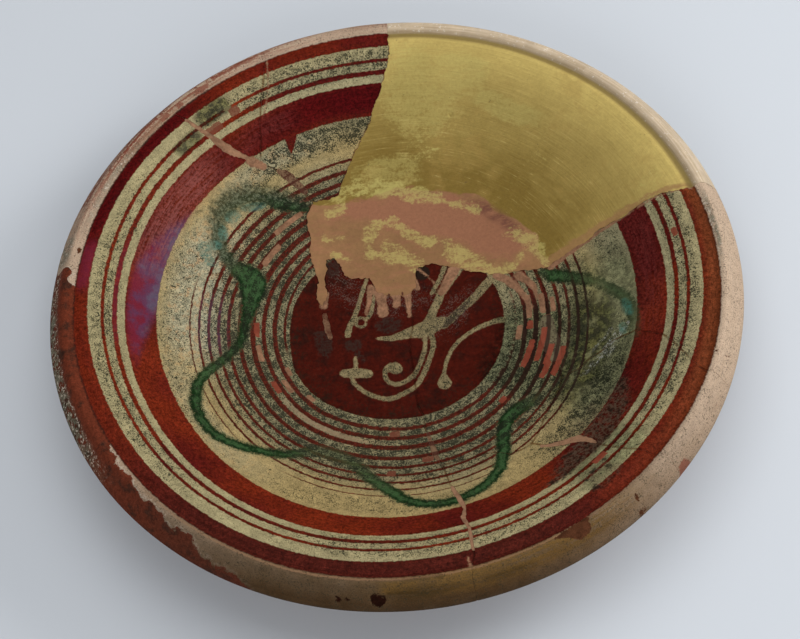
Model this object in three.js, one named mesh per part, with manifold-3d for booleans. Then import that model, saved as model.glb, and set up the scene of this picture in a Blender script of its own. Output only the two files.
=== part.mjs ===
// A glazed earthenware dish, mended from its broken sherds, with a plaster infill for the lost
// part of the wall. Millimetres, +Z up, the dish standing on z = 0 about the Z axis.

import * as THREE from 'three';
import { mergeVertices } from 'three/addons/utils/BufferGeometryUtils.js';
import Module from 'manifold-3d';

const wasm = await Module();
wasm.setup();

// Bowl
const rimRadius = 160;
const rimHeight = 54;
const mouthDrop = 1.7;
const floorThickness = 9;
const wallThickness = 9;

// Rolled lip, from the turned groove inside it to its outermost edge, and the land inside the groove
const lipWidth = 13;
const lipHeight = 17.5;
const landWidth = 3.5;
const grooveDepth = 2.3;
const neckInset = 10.5;
const neckHeight = 4;

// Foot ring
const footRadius = 68;
const footWidth = 12;
const footRecess = 5;
const footChamfer = 1.5;

// Mending
const jointGap = 0.3;
const breakStep = 7;
const breakJag = 0.7;
const swayTurn = 5;
const swayStep = 2.4;
const fillerDepth = 4;
const seatGap = 0.3;

// Fineness of the turned solid, and of an arc round the outside of a sherd
const facets = 80;
const bowlSteps = 16;
const arcStep = Math.PI / 6;

// Shape of the bowl inside, as shares of the mouth's radius and of the depth below it
const bowlCurve = [
  [0, 0], [0.21, 0.005], [0.362, 0.042], [0.524, 0.168], [0.664, 0.353],
  [0.783, 0.56], [0.874, 0.785], [0.937, 0.916], [1, 1],
];

// Shape of the lip outside its groove, as shares of its own width and height
const lipCurve = [
  [0.15, 0.93], [0.32, 1], [0.48, 0.94], [0.73, 0.71], [0.94, 0.49],
  [1, 0.32], [0.93, 0.13], [0.75, 0.02], [0.52, 0.02],
];

// Plan of the breaks, x and y as shares of the rim's radius
const forkUpperLeft = [-0.35, 0.575];
const forkBottom = [0.069, -0.512];
const forkLowerRight = [0.325, -0.5];
const forkRight = [0.444, -0.287];
const infillLeft = [-0.206, 0.456];
const infillMiddle = [0.037, 0.106];
const infillRight = [0.425, 0.113];

// Breaks that start at the lip and run inwards
const rimBreaks = {
  upperLeft: [
    [-0.589, 0.719], [-0.557, 0.691], [-0.497, 0.644], [-0.449, 0.614], [-0.393, 0.591],
    forkUpperLeft,
  ],
  top: [[-0.297, 0.906], [-0.306, 0.819], [-0.325, 0.731], [-0.338, 0.644], forkUpperLeft],
  infillUpper: [
    [0.087, 0.9], [0.078, 0.825], [0.044, 0.756], [-0.025, 0.644], [-0.106, 0.519],
    [-0.131, 0.469], infillLeft,
  ],
  infillLower: [
    [0.9, 0.188], [0.781, 0.194], [0.656, 0.178], [0.55, 0.144], [0.463, 0.109], infillRight,
  ],
  right: [
    [0.822, -0.431], [0.781, -0.362], [0.738, -0.269], [0.669, -0.206], [0.6, -0.212],
    [0.5, -0.269], forkRight,
  ],
  lowerRight: [
    [0.675, -0.681], [0.556, -0.625], [0.505, -0.583], [0.453, -0.529], [0.388, -0.526],
    forkLowerRight,
  ],
  bottom: [
    [0.106, -0.963], [0.119, -0.894], [0.116, -0.794], [0.106, -0.744], [0.113, -0.7],
    [0.094, -0.625], forkBottom,
  ],
};

// Breaks between the ends of others
const innerBreaks = {
  upperLeftInner: [forkUpperLeft, [-0.275, 0.537], infillLeft],
  infillFloor: [
    infillLeft, [-0.231, 0.412], [-0.231, 0.256], [-0.219, 0.194], [-0.231, 0.131],
    [-0.216, 0.106], [-0.197, 0.138], [-0.2, 0.194],
    [-0.188, 0.263], [-0.163, 0.269], [-0.141, 0.206], [-0.119, 0.188], [-0.066, 0.184],
    [-0.05, 0.131], [-0.013, 0.109], infillMiddle,
  ],
  infillCentre: [
    infillMiddle, [0.069, 0.131], [0.075, 0.194], [0.125, 0.206], [0.188, 0.181], [0.237, 0.153],
    [0.3, 0.131], infillRight,
  ],
  rightUpper: [infillRight, [0.441, 0.025], [0.431, -0.1], [0.441, -0.212], forkRight],
  rightLower: [forkRight, [0.388, -0.394], forkLowerRight],
  lowerRightInner: [forkLowerRight, [0.263, -0.522], [0.219, -0.5], [0.15, -0.506], forkBottom],
  bottomInner: [
    forkBottom, [0.056, -0.463], [0.037, -0.362], [0.025, -0.237], [0.025, -0.1], [0.044, 0.031],
    infillMiddle,
  ],
};

// Putty that fills the chipped edges, along its own run in plan
const fillers = {
  upper_left_filler: {
    run: [
      [-0.557, 0.691], [-0.524, 0.666], [-0.484, 0.638], [-0.449, 0.614], [-0.427, 0.602],
      [-0.393, 0.591], [-0.366, 0.579],
    ],
    widths: [1.6, 1.8, 2.4, 4.4, 3.4, 2.2, 3.2],
  },
  upper_left_inner_filler: {
    run: [[-0.303, 0.554], [-0.275, 0.537], [-0.247, 0.511], [-0.222, 0.481]],
    widths: [2, 4.4, 3.6, 2.6],
  },
  lower_right_filler: {
    run: [
      [0.497, -0.572], [0.481, -0.551], [0.453, -0.529], [0.418, -0.528], [0.375, -0.524],
      [0.347, -0.517],
    ],
    widths: [1.4, 2.4, 3.8, 3.4, 2.2, 1.4],
  },
  bottom_filler: {
    run: [
      [0.119, -0.881], [0.116, -0.794], [0.106, -0.744], [0.113, -0.7], [0.103, -0.656],
      [0.087, -0.6],
    ],
    widths: [1.4, 1.6, 2.2, 1.8, 2.4, 1.4],
  },
  bottom_inner_filler: {
    run: [[0.061, -0.494], [0.056, -0.463], [0.048, -0.419], [0.042, -0.384]],
    widths: [1.6, 2.6, 1.8, 1.4],
  },
  right_filler: {
    run: [[0.434, -0.05], [0.431, -0.1], [0.434, -0.169], [0.44, -0.219]],
    widths: [4, 7.5, 8, 5],
  },
  medallion_filler: {
    run: [[-0.212, 0.078], [-0.209, 0.031], [-0.203, -0.016]],
    widths: [2.2, 3, 2],
  },
};

const sherdClay = new THREE.MeshStandardMaterial({ color: 0x7b2a1d, roughness: 0.35, metalness: 0 });
const infillPaint = new THREE.MeshStandardMaterial({ color: 0xa98f45, roughness: 0.75, metalness: 0 });
const fillerPutty = new THREE.MeshStandardMaterial({ color: 0xa87f60, roughness: 0.85, metalness: 0 });
const redPutty = new THREE.MeshStandardMaterial({ color: 0xa5452c, roughness: 0.7, metalness: 0 });

// Cutting tools stand this far past the dish, upwards and outwards
const cutDepth = 2 * rimHeight;
const cutRadius = 1.4 * rimRadius;

// Solids
function solid(geometry) {
  geometry.deleteAttribute('normal');
  geometry.deleteAttribute('uv');
  const merged = mergeVertices(geometry);
  const corners = merged.index.array;
  const triangles = [];
  for (let i = 0; i < corners.length; i += 3) {
    const [a, b, c] = corners.slice(i, i + 3);
    if (a !== b && b !== c && c !== a) triangles.push(a, b, c);
  }
  return new wasm.Manifold(new wasm.Mesh({
    numProp: 3,
    vertProperties: new Float32Array(merged.attributes.position.array),
    triVerts: new Uint32Array(triangles),
  }));
}

function turned(profile) {
  return solid(new THREE.LatheGeometry(profile, facets).rotateX(Math.PI / 2));
}

function prism(outline) {
  const shape = new THREE.Shape(outline);
  const block = new THREE.ExtrudeGeometry(shape, { depth: cutDepth, bevelEnabled: false });
  return solid(block.translate(0, 0, (rimHeight - cutDepth) / 2));
}

function part(name, body, material) {
  const { vertProperties, triVerts } = body.getMesh();
  const geometry = new THREE.BufferGeometry();
  geometry.setAttribute('position', new THREE.BufferAttribute(new Float32Array(vertProperties), 3));
  geometry.setIndex(new THREE.BufferAttribute(new Uint32Array(triVerts), 1));
  geometry.computeVertexNormals();
  const mesh = new THREE.Mesh(geometry, material);
  mesh.name = name;
  return mesh;
}

// Section of the dish
const mouthRadius = rimRadius - lipWidth - landWidth;
const floorTop = footRecess + floorThickness;
const mouthHeight = rimHeight - mouthDrop;
const bowl = new THREE.SplineCurve(
  bowlCurve.map(([r, z]) => new THREE.Vector2(r * mouthRadius, floorTop + z * (mouthHeight - floorTop))),
);
const inside = bowl.getPoints(bowlSteps);

function lipSection() {
  const grooveRadius = rimRadius - lipWidth;
  const lipBase = rimHeight - lipHeight;
  const groove = new THREE.Vector2(grooveRadius, rimHeight - grooveDepth);
  const roll = lipCurve.map(
    ([u, v]) => new THREE.Vector2(grooveRadius + u * lipWidth, lipBase + v * lipHeight),
  );
  const neck = new THREE.Vector2(rimRadius - neckInset, lipBase + neckHeight);
  return [groove, ...roll, neck];
}

function outsideWall() {
  const wall = inside.map((point, i) => {
    const along = bowl.getTangent(i / bowlSteps);
    return new THREE.Vector2(point.x + along.y * wallThickness, point.y - along.x * wallThickness);
  });
  const first = wall.findIndex((point) => point.x > footRadius);
  const below = wall[first - 1];
  const share = (footRadius - below.x) / (wall[first].x - below.x);
  return [below.clone().lerp(wall[first], share), ...wall.slice(first, -1)];
}

function footSection() {
  const inner = footRadius - footWidth;
  return [
    [footRadius, footChamfer], [footRadius - footChamfer, 0], [inner + footChamfer, 0],
    [inner, footChamfer], [inner - footChamfer, footRecess], [0, footRecess],
  ].map(([r, z]) => new THREE.Vector2(r, z));
}

const dish = turned([...inside, ...lipSection(), ...outsideWall().reverse(), ...footSection()].reverse());

// The inner face to a given depth, open above
function innerSkin(depth) {
  const lower = inside.map((point) => new THREE.Vector2(point.x, point.y - depth));
  return turned([...lower, new THREE.Vector2(mouthRadius, cutDepth), new THREE.Vector2(0, cutDepth)]);
}

// Break lines, jagged between their drawn points, with those of the lip run out past it
function drawn(points) {
  return points.map(([x, y]) => new THREE.Vector2(x, y).multiplyScalar(rimRadius));
}

function jagged(points) {
  const line = [points[0]];
  for (let i = 1; i < points.length; i += 1) {
    const run = points[i].clone().sub(points[i - 1]);
    const across = new THREE.Vector2(-run.y, run.x).normalize();
    const steps = Math.max(1, Math.round(run.length() / breakStep));
    for (let j = 1; j < steps; j += 1) {
      const sway = breakJag * Math.sin(swayTurn * i + swayStep * j);
      line.push(points[i - 1].clone().addScaledVector(run, j / steps).addScaledVector(across, sway));
    }
    line.push(points[i]);
  }
  return line;
}

const lines = {};
for (const [name, points] of Object.entries(rimBreaks)) {
  const line = jagged(drawn(points));
  lines[name] = [line[0].clone().setLength(cutRadius), ...line];
}
for (const [name, points] of Object.entries(innerBreaks)) {
  lines[name] = jagged(drawn(points));
}

// A strip along a line, as wide as given at each of its points
function strip(line, widths) {
  const sides = [[], []];
  line.forEach((point, i) => {
    const before = line[Math.max(i - 1, 0)];
    const after = line[Math.min(i + 1, line.length - 1)];
    const along = after.clone().sub(before).normalize();
    const across = new THREE.Vector2(-along.y, along.x).multiplyScalar(widths[i] / 2);
    sides[0].push(point.clone().sub(across));
    sides[1].unshift(point.clone().add(across));
  });
  return prism(sides.flat());
}

function lengthened(line, by) {
  const ends = [line[0].clone(), line.at(-1).clone()];
  ends[0].addScaledVector(line[0].clone().sub(line[1]).normalize(), by);
  ends[1].addScaledVector(line.at(-1).clone().sub(line.at(-2)).normalize(), by);
  return [ends[0], ...line.slice(1, -1), ends[1]];
}

let broken = dish;
for (const line of Object.values(lines)) {
  broken = broken.subtract(strip(lengthened(line, jointGap), line.map(() => jointGap)));
}

// Putty and the grooves that it lies in
const putty = {};
for (const [name, { run, widths }] of Object.entries(fillers)) {
  const line = drawn(run);
  putty[name] = dish.intersect(innerSkin(fillerDepth)).intersect(strip(line, widths));
  const wider = widths.map((width) => width + 2 * seatGap);
  const groove = strip(lengthened(line, seatGap), wider).intersect(innerSkin(fillerDepth + seatGap));
  broken = broken.subtract(groove);
}

// Outlines of the pieces, anticlockwise from the rim
function back(line) {
  return [...line].reverse();
}

function rimArc(from, to) {
  const start = from.angle();
  const turn = (to.angle() - start + 2 * Math.PI) % (2 * Math.PI);
  const steps = Math.ceil(turn / arcStep);
  const arc = [];
  for (let i = 1; i < steps; i += 1) {
    const angle = start + (turn * i) / steps;
    arc.push(new THREE.Vector2(Math.cos(angle), Math.sin(angle)).multiplyScalar(cutRadius));
  }
  return arc;
}

function rimPiece(first, last, inner) {
  return [...back(first), ...rimArc(first[0], last[0]), ...last, ...inner.flat()];
}

const outlines = {
  left_sherd: rimPiece(lines.upperLeft, lines.bottom, [
    lines.bottomInner, back(lines.infillFloor), back(lines.upperLeftInner),
  ]),
  upper_left_rim_sherd: rimPiece(lines.top, lines.upperLeft, []),
  top_rim_sherd: rimPiece(lines.infillUpper, lines.top, [lines.upperLeftInner]),
  right_rim_sherd: rimPiece(lines.right, lines.infillLower, [lines.rightUpper]),
  lower_right_rim_sherd: rimPiece(lines.lowerRight, lines.right, [lines.rightLower]),
  bottom_rim_sherd: rimPiece(lines.bottom, lines.lowerRight, [lines.lowerRightInner]),
  floor_sherd: [
    back(lines.lowerRightInner), back(lines.rightLower), back(lines.rightUpper),
    back(lines.infillCentre), back(lines.bottomInner),
  ].flat(),
  plaster_infill: rimPiece(lines.infillLower, lines.infillUpper, [lines.infillFloor, lines.infillCentre]),
};

function pieceOf(outline) {
  const distinct = outline.filter((point, i) => point.distanceTo(outline.at(i - 1)) > jointGap / 2);
  return broken.intersect(prism(distinct));
}

const group = new THREE.Group();
for (const [name, outline] of Object.entries(outlines)) {
  group.add(part(name, pieceOf(outline), name === 'plaster_infill' ? infillPaint : sherdClay));
}
for (const [name, body] of Object.entries(putty)) {
  group.add(part(name, body, name === 'right_filler' ? redPutty : fillerPutty));
}

export default group;
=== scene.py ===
import math

import bpy
import numpy as np
from mathutils import Matrix, Vector
from mathutils.geometry import delaunay_2d_cdt
from mathutils.kdtree import KDTree


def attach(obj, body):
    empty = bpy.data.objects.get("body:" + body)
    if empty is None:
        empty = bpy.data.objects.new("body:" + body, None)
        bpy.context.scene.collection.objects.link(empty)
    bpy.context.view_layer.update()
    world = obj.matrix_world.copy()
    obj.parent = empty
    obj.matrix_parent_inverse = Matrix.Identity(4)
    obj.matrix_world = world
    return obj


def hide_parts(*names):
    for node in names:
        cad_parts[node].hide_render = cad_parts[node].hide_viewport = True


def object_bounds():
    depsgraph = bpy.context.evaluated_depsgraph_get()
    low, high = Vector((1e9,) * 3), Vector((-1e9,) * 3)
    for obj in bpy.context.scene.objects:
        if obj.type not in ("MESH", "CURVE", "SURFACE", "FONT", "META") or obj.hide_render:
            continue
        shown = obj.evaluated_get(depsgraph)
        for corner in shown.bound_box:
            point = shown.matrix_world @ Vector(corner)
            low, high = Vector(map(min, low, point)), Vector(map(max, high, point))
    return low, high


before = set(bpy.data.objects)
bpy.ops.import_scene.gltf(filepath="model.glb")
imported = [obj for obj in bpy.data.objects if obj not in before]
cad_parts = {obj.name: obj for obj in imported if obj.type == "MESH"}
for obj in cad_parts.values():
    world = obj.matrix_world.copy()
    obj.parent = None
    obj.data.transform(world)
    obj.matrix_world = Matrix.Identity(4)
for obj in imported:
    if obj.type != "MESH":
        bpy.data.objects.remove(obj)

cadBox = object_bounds()
mm = 0.001
# keeps divisions clear of zero
tiny = 1e-9
chance = np.random.default_rng(11)

# A mended slipware dish. Lengths are millimetres until the meshes are made.

section = {
    "rimRadius": cadBox[1].x / mm,
    "rimHeight": cadBox[1].z / mm,
    "landWidth": 3.5,
    "mouthDrop": 1.7,
    "floorThickness": 9,
    "wallThickness": 9,
    "lipWidth": 13,
    "lipHeight": 17.5,
    "grooveDepth": 2.3,
    "neckInset": 10.5,
    "neckHeight": 4,
    "footRadius": 68,
    "footWidth": 12,
    "footRecess": 5,
    "footChamfer": 1.5,
    "meshStep": 1.05,
    "mergeWithin": 1e-4,
    "leastArea": 1e-7,
    "leastRise": 1e-7,
    # how near the mesh's free points come to each other on the rim and to drawn lines, in steps
    "rimApart": 0.4,
    "lineApart": 0.55,
    "curveSteps": {"bowl": 24, "lip": 16, "neck": 12},
    # how far the wall's outside keeps from the foot and from the neck
    "footClear": 0.3,
    "neckClear": 3,
    "footFlare": 0.25,
    "rimInset": 0.05,
    # inside of the bowl, as shares of the mouth's radius and of its depth
    "bowl": [(0, 0), (0.21, 0.005), (0.362, 0.042), (0.524, 0.168), (0.664, 0.353), (0.783, 0.56),
             (0.874, 0.785), (0.937, 0.916), (1, 1)],
    # lip outside its groove, as shares of its own width and height
    "lipOver": [(0.15, 0.93), (0.32, 0.99), (0.48, 0.94), (0.73, 0.71), (0.94, 0.49), (0.995, 0.38)],
    "lipUnder": [(0.995, 0.27), (0.93, 0.13), (0.75, 0.02), (0.52, 0.02)],
}


def smoothLine(points, steps):
    # a curve through the points; further columns, such as a width, run along with it
    p = np.asarray(points, float)
    ends = np.vstack([p[:1], p, p[-1:]])
    t = np.linspace(0, 1, steps, endpoint=False)[:, None]
    runs = []
    for a, b, c, d in zip(ends, ends[1:], ends[2:], ends[3:]):
        v0, v1 = (c - a) / 2, (d - b) / 2
        runs.append((2 * b - 2 * c + v0 + v1) * t**3 + (3 * c - 3 * b - 2 * v0 - v1) * t**2 + v0 * t + b)
    return np.vstack(runs + [p[-1:]])


def ease(value, low, high):
    t = np.clip((value - low) / (high - low), 0, 1)
    return t * t * (3 - 2 * t)


def sectionLines():
    s = section
    floorTop = s["footRecess"] + s["floorThickness"]
    depth = s["rimHeight"] - s["mouthDrop"] - floorTop
    grooveRadius = s["rimRadius"] - s["lipWidth"]
    mouthRadius = grooveRadius - s["landWidth"]
    steps = s["curveSteps"]
    bowl = smoothLine([(u * mouthRadius, floorTop + v * depth) for u, v in s["bowl"]], steps["bowl"])
    lipBase = s["rimHeight"] - s["lipHeight"]
    over = [(grooveRadius + u * s["lipWidth"], lipBase + v * s["lipHeight"]) for u, v in s["lipOver"]]
    under = [(grooveRadius + u * s["lipWidth"], lipBase + v * s["lipHeight"]) for u, v in s["lipUnder"]]
    groove = (grooveRadius, s["rimHeight"] - s["grooveDepth"])
    neck = (s["rimRadius"] - s["neckInset"], lipBase + s["neckHeight"])
    upper = np.vstack([bowl[:-1], smoothLine([tuple(bowl[-1]), groove, *over], steps["lip"])])
    along = np.gradient(bowl, axis=0)
    along /= np.linalg.norm(along, axis=1)[:, None]
    wall = bowl + s["wallThickness"] * np.stack([along[:, 1], -along[:, 0]], 1)
    clear = (wall[:, 0] > s["footRadius"] + s["footClear"]) & (wall[:, 0] < neck[0] - s["neckClear"])
    wall = wall[clear]
    foot, inner = s["footRadius"], s["footRadius"] - s["footWidth"]
    edge = s["footChamfer"]
    base = [(0, s["footRecess"]), (inner - edge, s["footRecess"]), (inner, edge), (inner + edge, 0),
            (foot - edge, 0), (foot, edge), (foot + s["footFlare"], wall[0, 1])]
    lower = np.vstack([base, wall[:-1], smoothLine([tuple(wall[-1]), neck, *under[::-1]], steps["neck"])])
    # radii have to rise all the way for heights to be read from them
    for line in (upper, lower):
        line[:, 0] = np.maximum.accumulate(np.minimum(line[:, 0], s["rimRadius"] - s["rimInset"]))
        line[:, 0] += np.arange(len(line)) * s["leastRise"]
    return upper, lower, [r for r, _ in base[1:]]


upperLine, lowerLine, footEdges = sectionLines()
rimRadius = upperLine[-1, 0]
print("section: rim radius", round(rimRadius, 2), "height", round(section["rimHeight"], 2))

# Breaks and putty in plan, x and y as shares of the rim's radius

forks = {
    "upperLeft": (-0.35, 0.575), "bottom": (0.069, -0.512), "lowerRight": (0.325, -0.5),
    "right": (0.444, -0.287), "infillLeft": (-0.206, 0.456), "infillMiddle": (0.037, 0.106),
    "infillRight": (0.425, 0.113),
}
breaks = {
    "coarseStep": 7, "coarseJag": 0.7, "coarseWave": (5, 2.4), "fineStep": 1.0, "fineJag": 0.2,
    "infillJag": 0.45,
    # room on each side of a break; outlines reach past the rim on arcs of so many steps to a radian
    "gap": 0.05, "reach": 1.4, "arcSteps": 6,
    # from the lip inwards
    "rim": {
        "upperLeft": [
            (-0.589, 0.719), (-0.557, 0.691), (-0.497, 0.644), (-0.449, 0.614), (-0.393, 0.591),
            forks["upperLeft"],
        ],
        "top": [(-0.297, 0.906), (-0.306, 0.819), (-0.325, 0.731), (-0.338, 0.644), forks["upperLeft"]],
        "infillUpper": [
            (0.087, 0.9), (0.078, 0.825), (0.044, 0.756), (-0.025, 0.644), (-0.106, 0.519),
            (-0.131, 0.469), forks["infillLeft"],
        ],
        "infillLower": [
            (0.9, 0.188), (0.781, 0.194), (0.656, 0.178), (0.55, 0.144), (0.463, 0.109),
            forks["infillRight"],
        ],
        "right": [
            (0.822, -0.431), (0.781, -0.362), (0.738, -0.269), (0.669, -0.206), (0.6, -0.212),
            (0.5, -0.269), forks["right"],
        ],
        "lowerRight": [
            (0.675, -0.681), (0.556, -0.625), (0.505, -0.583), (0.453, -0.529), (0.388, -0.526),
            forks["lowerRight"],
        ],
        "bottom": [
            (0.106, -0.963), (0.119, -0.894), (0.116, -0.794), (0.106, -0.744), (0.113, -0.7),
            (0.094, -0.625), forks["bottom"],
        ],
    },
    # between the ends of others
    "inner": {
        "upperLeftInner": [forks["upperLeft"], (-0.275, 0.537), forks["infillLeft"]],
        "infillFloor": [
            forks["infillLeft"], (-0.231, 0.412), (-0.231, 0.256), (-0.219, 0.194), (-0.231, 0.131),
            (-0.216, 0.106), (-0.197, 0.138), (-0.2, 0.194), (-0.188, 0.263), (-0.163, 0.269),
            (-0.141, 0.206), (-0.119, 0.188), (-0.066, 0.184), (-0.05, 0.131), (-0.013, 0.109),
            forks["infillMiddle"],
        ],
        "infillCentre": [
            forks["infillMiddle"], (0.069, 0.131), (0.075, 0.194), (0.125, 0.206), (0.188, 0.181),
            (0.237, 0.153), (0.3, 0.131), forks["infillRight"],
        ],
        "rightUpper": [
            forks["infillRight"], (0.441, 0.025), (0.431, -0.1), (0.441, -0.212), forks["right"],
        ],
        "rightLower": [forks["right"], (0.388, -0.394), forks["lowerRight"]],
        "lowerRightInner": [
            forks["lowerRight"], (0.263, -0.522), (0.219, -0.5), (0.15, -0.506), forks["bottom"],
        ],
        "bottomInner": [
            forks["bottom"], (0.056, -0.463), (0.037, -0.362), (0.025, -0.237), (0.025, -0.1),
            (0.044, 0.031), forks["infillMiddle"],
        ],
    },
}
# each filler's run, with its width in millimetres
fillers = {
    "upper_left_filler": [
        (-0.557, 0.691, 1.6), (-0.524, 0.666, 1.8), (-0.484, 0.638, 2.4), (-0.449, 0.614, 4.4),
        (-0.427, 0.602, 3.4), (-0.393, 0.591, 2.2), (-0.366, 0.579, 3.2),
    ],
    "upper_left_inner_filler": [
        (-0.303, 0.554, 2), (-0.275, 0.537, 4.4), (-0.247, 0.511, 3.6), (-0.222, 0.481, 2.6),
    ],
    "lower_right_filler": [
        (0.497, -0.572, 1.4), (0.481, -0.551, 2.4), (0.453, -0.529, 3.8), (0.418, -0.528, 3.4),
        (0.375, -0.524, 2.2), (0.347, -0.517, 1.4),
    ],
    "bottom_filler": [
        (0.119, -0.881, 1.4), (0.116, -0.794, 1.6), (0.106, -0.744, 2.2), (0.113, -0.7, 1.8),
        (0.103, -0.656, 2.4), (0.087, -0.6, 1.4),
    ],
    "bottom_inner_filler": [
        (0.061, -0.494, 1.6), (0.056, -0.463, 2.6), (0.048, -0.419, 1.8), (0.042, -0.384, 1.4),
    ],
    "right_filler": [(0.434, -0.05, 4), (0.431, -0.1, 7.5), (0.434, -0.169, 8), (0.44, -0.219, 5)],
    "medallion_filler": [(-0.212, 0.078, 2.2), (-0.209, 0.031, 3), (-0.203, -0.016, 2)],
}
puttyForm = {
    "depth": 4, "seat": 0.3, "edgeJag": 0.3, "curveSteps": 6, "endWidth": 0.6,
    # its top keeps this share of the sherds' relief and lies this much lower
    "relief": 0.5, "drop": 0.1,
    "crown": (0.18, 2.6, 61),
}


def jagged(points):
    line = [points[0]]
    perPoint, perStep = breaks["coarseWave"]
    for i in range(1, len(points)):
        start, end = points[i - 1], points[i]
        run = end - start
        across = np.array([-run[1], run[0]]) / np.linalg.norm(run)
        steps = max(1, round(float(np.linalg.norm(run)) / breaks["coarseStep"]))
        for j in range(1, steps):
            aside = breaks["coarseJag"] * math.sin(perPoint * i + perStep * j)
            line.append(start + run * j / steps + across * aside)
        line.append(end)
    return np.array(line)


def roughened(line, step, jag):
    # the same line in short steps, each but the drawn points a little off it
    points = [line[0]]
    for a, b in zip(line, line[1:]):
        steps = max(1, int(np.linalg.norm(b - a) / step))
        for j in range(1, steps):
            points.append(a + (b - a) * j / steps + chance.uniform(-jag, jag, 2))
        points.append(b)
    return np.array(points)


def jagOf(name):
    return breaks["infillJag"] if name.startswith("infill") else breaks["fineJag"]


def breakLines():
    lines = {}
    for name, shares in breaks["rim"].items():
        line = jagged(np.array(shares) * section["rimRadius"])
        onRim = line[0] / np.linalg.norm(line[0]) * rimRadius
        lines[name] = roughened(np.vstack([onRim, line]), breaks["fineStep"], jagOf(name))
    for name, shares in breaks["inner"].items():
        lines[name] = roughened(jagged(np.array(shares) * section["rimRadius"]), breaks["fineStep"],
                                jagOf(name))
    return lines


def fillerOutline(run):
    scale = (section["rimRadius"], section["rimRadius"], 1)
    line = smoothLine(np.array(run) * scale, puttyForm["curveSteps"])
    along = np.gradient(line[:, :2], axis=0)
    along /= np.linalg.norm(along, axis=1)[:, None]
    across = np.stack([-along[:, 1], along[:, 0]], 1)
    width = line[:, 2] / 2
    width[[0, -1]] *= puttyForm["endWidth"]
    jag = puttyForm["edgeJag"]
    left = line[:, :2] + across * (width + chance.uniform(-jag, jag, len(width)))[:, None]
    right = line[:, :2] - across * (width + chance.uniform(-jag, jag, len(width)))[:, None]
    return np.vstack([right, left[::-1]])


lines = breakLines()
fillerOutlines = {name: fillerOutline(run) for name, run in fillers.items()}


def outlineOf(first, last, inner):
    # a piece of the rim between two breaks, anticlockwise
    start, end = lines[first][0], lines[last][0]
    a = math.atan2(start[1], start[0])
    turn = (math.atan2(end[1], end[0]) - a) % (2 * math.pi)
    angles = a + turn * np.linspace(0, 1, 3 + int(turn * breaks["arcSteps"]))
    arc = np.stack([np.cos(angles), np.sin(angles)], 1) * rimRadius * breaks["reach"]
    return np.vstack([lines[first][::-1], arc, lines[last], *inner])


outlines = {
    "left_sherd": outlineOf("upperLeft", "bottom", [
        lines["bottomInner"], lines["infillFloor"][::-1], lines["upperLeftInner"][::-1]]),
    "upper_left_rim_sherd": outlineOf("top", "upperLeft", []),
    "top_rim_sherd": outlineOf("infillUpper", "top", [lines["upperLeftInner"]]),
    "right_rim_sherd": outlineOf("right", "infillLower", [lines["rightUpper"]]),
    "lower_right_rim_sherd": outlineOf("lowerRight", "right", [lines["rightLower"]]),
    "bottom_rim_sherd": outlineOf("bottom", "lowerRight", [lines["lowerRightInner"]]),
    "floor_sherd": np.vstack([
        lines["lowerRightInner"][::-1], lines["rightLower"][::-1], lines["rightUpper"][::-1],
        lines["infillCentre"][::-1], lines["bottomInner"][::-1]]),
    "plaster_infill": outlineOf("infillLower", "infillUpper",
                                [lines["infillFloor"], lines["infillCentre"]]),
}


def planMesh():
    # one triangulation of the whole dish in plan, with the breaks and putty edges among its edges
    step = section["meshStep"]
    kept, edges = [], []

    def addLine(points, closed):
        start = len(kept)
        kept.extend(points)
        edges.extend((start + i, start + i + 1) for i in range(len(points) - 1))
        if closed:
            edges.append((start + len(points) - 1, start))

    for line in lines.values():
        addLine(line, False)
    for outline in fillerOutlines.values():
        addLine(outline, True)
    ends = [math.atan2(lines[name][0][1], lines[name][0][0]) for name in breaks["rim"]]
    count = round(2 * math.pi * rimRadius / step)
    angles = np.linspace(-math.pi, math.pi, count, endpoint=False)
    turns = (angles[:, None] - np.array(ends)[None] + math.pi) % (2 * math.pi) - math.pi
    apart = np.min(np.abs(turns), axis=1) * rimRadius
    angles = np.sort(np.concatenate([angles[apart > section["rimApart"] * step], ends]))
    addLine(np.stack([np.cos(angles), np.sin(angles)], 1) * rimRadius, True)
    tree = KDTree(len(kept))
    for i, (x, y) in enumerate(kept):
        tree.insert((x, y, 0), i)
    tree.balance()

    travel = np.concatenate([[0], np.cumsum(np.linalg.norm(np.diff(upperLine, axis=0), axis=1))])
    radii = np.interp(np.arange(step, travel[-1] - section["rimApart"] * step, step), travel,
                      upperLine[:, 0])
    for edge in footEdges:
        radii[np.argmin(np.abs(radii - edge))] = edge
    free = [(0.0, 0.0)]
    for i, r in enumerate(np.sort(radii)):
        turn = (np.arange(round(2 * math.pi * r / step)) + 0.5 * (i % 2)) * step / r
        free.extend(zip(r * np.cos(turn), r * np.sin(turn)))
    free = [(x, y) for x, y in free if tree.find((x, y, 0))[2] > section["lineApart"] * step]
    points = [Vector(p) for p in kept] + [Vector(p) for p in free]
    found = delaunay_2d_cdt(points, edges, [], 0, section["mergeWithin"], False)
    plan = np.array([tuple(v) for v in found[0]])
    triangles = np.array(found[2])
    a, b, c = (plan[triangles[:, k]] for k in range(3))
    turning = (b - a)[:, 0] * (c - a)[:, 1] - (b - a)[:, 1] * (c - a)[:, 0]
    triangles[turning < 0] = triangles[turning < 0][:, ::-1]
    return plan, triangles[np.abs(turning) > section["leastArea"]]


def inside(points, outline):
    x, y = points[:, 0], points[:, 1]
    odd = np.zeros(len(points), bool)
    for (x0, y0), (x1, y1) in zip(outline, np.roll(outline, -1, axis=0)):
        if y0 == y1:
            continue
        crossing = (y0 > y) != (y1 > y)
        odd ^= crossing & (x < x0 + (y - y0) / (y1 - y0) * (x1 - x0))
    return odd


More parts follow.
